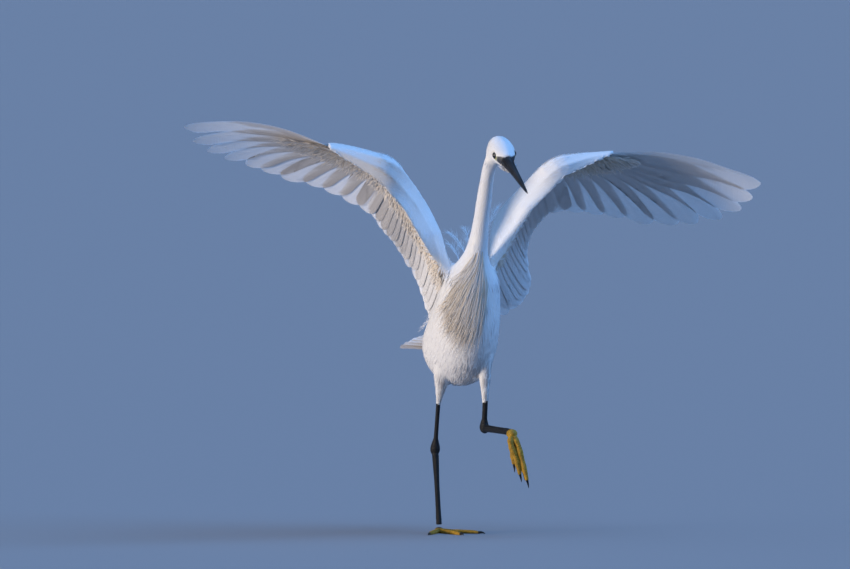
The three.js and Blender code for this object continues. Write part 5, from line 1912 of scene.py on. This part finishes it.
@dataclass
class Face:
    """Eyes with their lids, and the bill."""

    head: Head
    lid_radius: float = 4.1
    bill_rows: tuple = ((0, 7.6, 7.6, 8.4), (12, 6, 6.2, 6.6), (35, 4.4, 4.9, 4.9), (60, 3, 3.4, 3.2),
                        (78, 1.6, 1.9, 1.6), (85, 0.5, 0.5, 0.5))
    drop: float = 0.035
    mouth: float = -1.0
    gap: float = 0.15
    upper_length: float = 85.0
    lower_length: float = 81.0

    def eyes(self, finish: Material, rim: Material) -> None:
        """Makes both eyes and their lids."""
        head = self.head
        for side in Side:
            name, sign = side.name.lower(), side.value
            middle = head.place(head.eye_ahead, head.eye_out * sign, head.eye_rise)
            gaze = unit(head.side * sign + head.axis * 0.16)
            first = unit(np.cross(gaze, head.up))
            second = np.cross(gaze, first)
            turn = np.linspace(0, math.pi, 26)[:, None, None]
            ring = wheel(first, second, 36)
            rows = np.maximum(np.sin(turn), 1e-3) * ring + np.cos(turn) * gaze
            points = (middle + rows * head.eye_radius).reshape(-1, 3)
            look = unit(head.side * sign + head.axis * 0.62 - head.up * 0.06)
            angle = np.arccos(np.clip(unit(points - middle) @ look, -1, 1))
            surface = Surface()
            surface.add(points, grid_quads(len(turn), len(ring), closed=True), abreast(0.0, angle, 0.0))
            finish_piece(surface.solid(f"eyeball_{name}", finish, 1e-5), Slot.EYE, f"eye_{name}")
            self._lid(f"eyelid_{name}", middle, gaze, first, second, rim)

    def _lid(self, name: str, middle: Array, gaze: Array, first: Array, second: Array,
             rim: Material) -> None:
        """Makes the bare ring of lid round an eye, thicker above it."""
        around = wheel(first, second, 48)
        height = math.sqrt(self.head.eye_radius ** 2 - self.lid_radius ** 2)
        thick = 0.36 + 0.10 * (around @ self.head.up)
        centre = middle + around * self.lid_radius + gaze * (height + 0.15)
        rings = centre[:, None] + thick[:, None, None] * wheel(around, gaze, 10)
        n, m = rings.shape[:2]
        quads = grid_quads(n + 1, m, closed=True) % (n * m)
        pale = np.repeat(ramp(0.3, 0.9, around @ unit(self.head.up - self.head.axis)), m)
        surface = Surface()
        surface.add(rings.reshape(-1, 3), quads, abreast(0.3, 0.95 - 0.6 * pale, 0.0))
        finish_piece(surface.solid(name, rim), Slot.BILL)

    def bill(self, finish: Material) -> None:
        """Makes the upper and the lower bill."""
        self._half("upper", finish, True)
        self._half("lower", finish, False)

    def _half(self, name: str, finish: Material, upper: bool) -> None:
        """Makes one half of the bill, flat where it meets the other.

        Args:
            name: which half, as its node is named.
            finish: its material.
            upper: whether it is the upper half.
        """
        ahead = np.linspace(0, 1, 70) ** 0.9 * (self.upper_length if upper else self.lower_length)
        ahead[0] = 0.3
        place = np.interp(ahead, [row[0] for row in self.bill_rows], np.arange(len(self.bill_rows)))
        wide, above, below = (smooth_value([row[k] for row in self.bill_rows], place) for k in (1, 2, 3))
        cut = self.mouth + (self.gap if upper else -self.gap)
        low = np.arcsin(np.clip(-cut / below, 0, 1))
        start, turn = (-low, math.pi + 2 * low) if upper else (math.pi + low, math.pi - 2 * low)
        angle = start[:, None] + turn[:, None] * np.linspace(0, 1, 26)
        x = wide[:, None] * np.cos(angle)
        z = np.where(np.sin(angle) > 0, above[:, None], below[:, None]) * np.sin(angle)
        shade = np.zeros_like(x)
        if upper:
            # The nostril slit is pressed into the bill and painted darker: painted shade in the slit.
            nostril = np.exp(-((ahead - 10.5) / 3.8) ** 4)[:, None]
            shade = nostril * np.exp(-((z - 2.3) / 0.75) ** 2) * (z > 0)
            x = x * (1 - 0.24 * shade)
            groove = np.exp(-((ahead - 24) / 14) ** 4)[:, None] * np.exp(-((z - 1.8) / 0.8) ** 2)
            x = x * (1 - 0.07 * groove)
        rings = self.head.place((self.head.bill_start + ahead)[:, None] + 0 * x, x,
                                z - 1 - self.drop * ahead[:, None])
        shade = np.concatenate([shade[:1], shade, shade[-1:]]).ravel()
        surface = Surface()
        surface.add(*tube(rings), abreast(0.0, shade, 0.0))
        finish_piece(surface.solid(f"{name}_bill", finish), Slot.BILL, f"bill_{name}")


def chin_coat(face: Face, material: Material, count: int = 900, reach: float = 21.0
              ) -> Object:
    """Makes the wedge of short feathers that runs out under the lower bill."""
    chance = np.random.default_rng(81)
    out_share = chance.uniform(0, 1, count) ** 0.9
    ahead = reach * out_share
    rows = np.array(face.bill_rows)
    wide, below = (np.interp(ahead, rows[:, 0], rows[:, k]) for k in (1, 3))
    turn = np.radians(72) * chance.uniform(-1, 1, count) * (1 - 0.25 * out_share)
    across, drop = np.sin(turn), np.cos(turn)
    head = face.head
    off = 5.4 * (1 - out_share) ** 0.7 * chance.uniform(0, 1, count) ** 0.6 - 0.2
    at = head.place(head.bill_start + ahead, across * (wide + off),
                    -drop * (below + off) - 1 - face.drop * ahead)
    out = unit(across[:, None] * head.side - drop[:, None] * head.up)
    lie = unit(-head.axis + out * 0.10 + chance.normal(0, 0.05, (count, 3)))
    long = chance.uniform(4.0, 6.0, count)
    home = abreast(0.5 + across * 0.45, out_share * 0.98)
    roots = Roots(at, lie, out, abreast(0.26 * long, long, 0.3), home,
                  abreast(0.04, 0.0, chance.uniform(0, 1, count)))
    tree = ScatterTree("Chin locks", Element.LOCK, material).build()
    return finish_piece(roots.dress("chin_coat", tree, 0.0, 0.06, 82), Slot.PLUMAGE)


@dataclass
class LegDress:
    """The bare parts of both legs: black shanks, yellow feet and black claws."""

    shank: Material
    foot: Material
    claw: Material

    def build(self, leg: Leg) -> None:
        """Makes one leg's pieces."""
        name = leg.name
        shank = remeshed(tube_object(f"{name}_shank", leg.shank(), self.shank), 0.0006, 3)
        plain = np.zeros(len(shank.data.vertices))
        dye(shank.data, self.shank, plain, plain)
        finish_piece(shank, Slot.LEG, f"{name}_shin", f"{name}_tarsus")
        palm = ball_rings(leg.palm, leg.palm_size)
        toes = [leg.toe(toe) for toe in leg.toes]
        foot = remeshed(tube_object(f"{name}_sole_and_toes", [palm, *toes], self.foot), 0.0006, 3)
        points = read_points(foot.data)
        if leg.stands:
            points[:, 2] = np.maximum(points[:, 2], 0.0)
            write_points(foot.data, points)
        from_ankle = np.linalg.norm(points - np.array(leg.ankle, float), axis=1)
        dye(foot.data, self.foot, 0 * from_ankle, 0.85 * (1 - ramp(4.5, 10.0, from_ankle)))
        finish_piece(foot, Slot.FOOT, f"{name}_foot", *(f"{name}_toe_{toe}" for toe in leg.toes))
        rings = [leg.claw(toe) for toe in leg.toes]
        for ring in rings:
            ring[..., 2] = np.maximum(ring[..., 2], 0.0)
        claws = tube_object(f"{name}_claws", rings, self.claw)
        finish_piece(claws, Slot.CLAW, *(f"{name}_claw_{toe}" for toe in leg.toes))
        self._scutes(leg, name)

    def _scutes(self, leg: Leg, name: str) -> None:
        """Sets raised plates along the front of the tarsus and the top of each toe."""
        hock, ankle = np.array(leg.hock, float), np.array(leg.ankle, float)
        on = unit(ankle - hock)
        ahead = np.array([0, -1.0, 0.0])
        front = unit(ahead - on * (ahead @ on)) if abs(on[1]) < 0.7 else np.array([0, 0, 1.0])
        side = np.cross(on, front)
        length = np.linalg.norm(ankle - hock)
        step, toe_step = 3.1, 2.6
        ring = ((-1.05, 2.3, 0.5), (0, 3.4, 0), (1.05, 2.3, 0.5),
                (2.1, 2.3, 0), (3.14, 2.6, 0.5), (-2.1, 2.3, 0))
        rows = []
        for i in range(int((length - 12) / step)):
            along = 8 + i * step
            radius = float(smooth_value(leg.tarsus_radii, (along - 4) / (length - 4) * 5))
            for turn, wide, shift in ring:
                out = front * math.cos(turn) + side * math.sin(turn)
                at = hock + on * (along + shift * step) + out * (radius - 0.15)
                rows.append((at, on, out, (wide, 3.3, 0.8)))
        self._plates(f"{name}_tarsus_scutes", rows, self.shank, Slot.LEG, 71)
        rows = []
        rise = np.array([0, 0, 1.0] if leg.stands else [0.2, -1.0, 0.15])
        for toe in leg.toes.values():
            points = np.array((leg.palm, *toe), float)
            line = Spline(points)
            span = np.linalg.norm(np.diff(points, axis=0), axis=1).sum()
            for i in range(int((span - 7) / toe_step)):
                t = np.array((6 + i * toe_step) / span)
                at, way = line.at(t), line.tangent(t)
                out = unit(rise - way * (rise @ way))
                radius = float(smooth_value(leg.toe_radii, t * 6))
                rows.append((at + out * (radius - 0.25), way, out, (radius * 1.5, 2.8, 0.9)))
        self._plates(f"{name}_toe_scutes", rows, self.foot, Slot.FOOT, 72)

    @staticmethod
    def _plates(name: str, rows: list, material: Material, slot: Slot, seed: int) -> None:
        """Sets one scute on each row of place, lie, outward way and size."""
        at, lie, out, size = (np.array([row[k] for row in rows], float) for k in range(4))
        n = len(rows)
        roots = Roots(at, lie, out, size, abreast(np.linspace(0, 0.99, n), 0.5), np.zeros((n, 3)))
        tree = ScatterTree(f"Scutes {name}", Element.SCUTE, material).build()
        finish_piece(roots.dress(name, tree, 0.0, 0.03, seed), slot)


@dataclass
class Studio:
    """Pale floor, soft light and the camera at the photograph's framing."""

    turn: float = math.radians(16)
    rise: float = math.radians(2)
    distance: float = 20.0
    aim: tuple[float, float] = (-0.0178, 0.3156)
    frame_width: float = 1.0795
    sensor: float = 36.0

    def camera(self) -> None:
        """Sets the camera far off, a little above level."""
        cos, sin = math.cos(self.turn), math.sin(self.turn)
        flat, steep = math.cos(self.rise), math.sin(self.rise)
        right = Vector((cos, -sin, 0))
        up = Vector((sin * steep, cos * steep, flat))
        ahead = Vector((sin * flat, cos * flat, -steep))
        data = bpy.data.cameras.new("Camera")
        data.sensor_width = self.sensor
        data.lens = self.sensor * self.distance / self.frame_width
        data.clip_end = 1000
        made = new_object("Camera", data)
        turned = Matrix((right, up, -ahead)).transposed().to_4x4()
        place = right * self.aim[0] + up * self.aim[1] - ahead * self.distance
        made.matrix_world = Matrix.Translation(place) @ turned
        bpy.context.scene.camera = made

    def floor(self) -> None:
        """Lays the floor."""
        half = 300.0
        corners = [(-half, -half, 0), (half, -half, 0), (half, half, 0), (-half, half, 0)]
        mesh = bpy.data.meshes.new("floor")
        mesh.from_pydata(corners, [], [(0, 1, 2, 3)])
        material, graph, shader = new_material("Pale floor")
        graph.fill(shader, {"Base Color": (0.36, 0.31, 0.29, 1), "Roughness": 0.9})
        mesh.materials.append(material)
        new_object("floor", mesh)

    def light(self) -> None:
        """Sets a warm key from the viewer's left and a cool fill from the right."""
        lamps = (("Key", 3.5, (1.0, 0.865, 0.745), 12, (-0.965, -0.18, 0.06)),
                 ("Top", 3.3, (0.19, 0.46, 1.0), 70, (0.60, -0.24, 0.77)),
                 ("Sky", 0.8, (0.28, 0.53, 1.0), 90, (-0.28, 0.10, 0.95)))
        for name, power, colour, soft, way in lamps:
            data = bpy.data.lights.new(name, "SUN")
            data.energy = power
            data.color = colour
            data.angle = math.radians(soft)
            new_object(name, data).rotation_euler = Vector(way).to_track_quat("Z", "Y").to_euler()
        world = bpy.data.worlds.new("Studio")
        world.use_nodes = True
        sky = world.node_tree.nodes["Background"]
        sky.inputs["Color"].default_value = (0.50, 0.66, 0.95, 1)
        sky.inputs["Strength"].default_value = 0.13
        bpy.context.scene.world = world
        bpy.context.scene.view_settings.view_transform = "Standard"

    def build(self) -> None:
        """Makes everything round the bird."""
        self.floor()
        self.light()
        self.camera()


def main() -> None:
    """Builds the bird and its studio."""
    logging.basicConfig(level=logging.INFO, format="%(message)s")
    body, head = Body(), Head()
    wings, legs = (RIGHT_WING, LEFT_WING), (RIGHT_LEG, LEFT_LEG)
    down = Plumage("White down").make()
    vanes = Plumage("White vanes", barbs=0.16, glow=0.35).make()
    hide = BareSkin("Skin").make()
    black = Horn("Black bill", (0.008, 0.008, 0.010), (0.022, 0.023, 0.026), (60, 60, 60), 0.36).make()
    shank = Horn("Black leg scales", (0.004, 0.004, 0.005), (0.012, 0.012, 0.012), (300, 300, 300), 0.5,
                 0.5, 900.0).make()
    yellow = Horn("Yellow foot skin", (0.30, 0.17, 0.012), (0.50, 0.28, 0.02), (260, 260, 260), 0.5, 0.5,
                  1100.0).make()
    claw = Horn("Black claw", (0.006, 0.005, 0.005), (0.03, 0.027, 0.024), (400, 400, 120), 0.3).make()
    tail = Tail(vanes)
    skin = Skin(body, head, wings, legs, tail, hide).build()
    dress_coat(skin, body, head, wings, legs, tail, down)
    for wing in wings:
        WingFeathers(wing, vanes).build()
        underwing_down(wing, down)
    tail.build()
    breast_plumes(body, vanes)
    Aigrettes(body, down).build()
    face = Face(head)
    # The iris is a dark brown-yellow with a wide pupil: painted shade over a pale yellow eye.
    face.eyes(Eyeball("Pale yellow eye", (0.15, 0.12, 0.05), 1.08, 1.25).make(), hide)
    face.bill(black)
    chin_coat(face, down)
    dress = LegDress(shank, yellow, claw)
    for leg in legs:
        dress.build(leg)
    Studio().build()


if __name__ == "__main__":
    main()
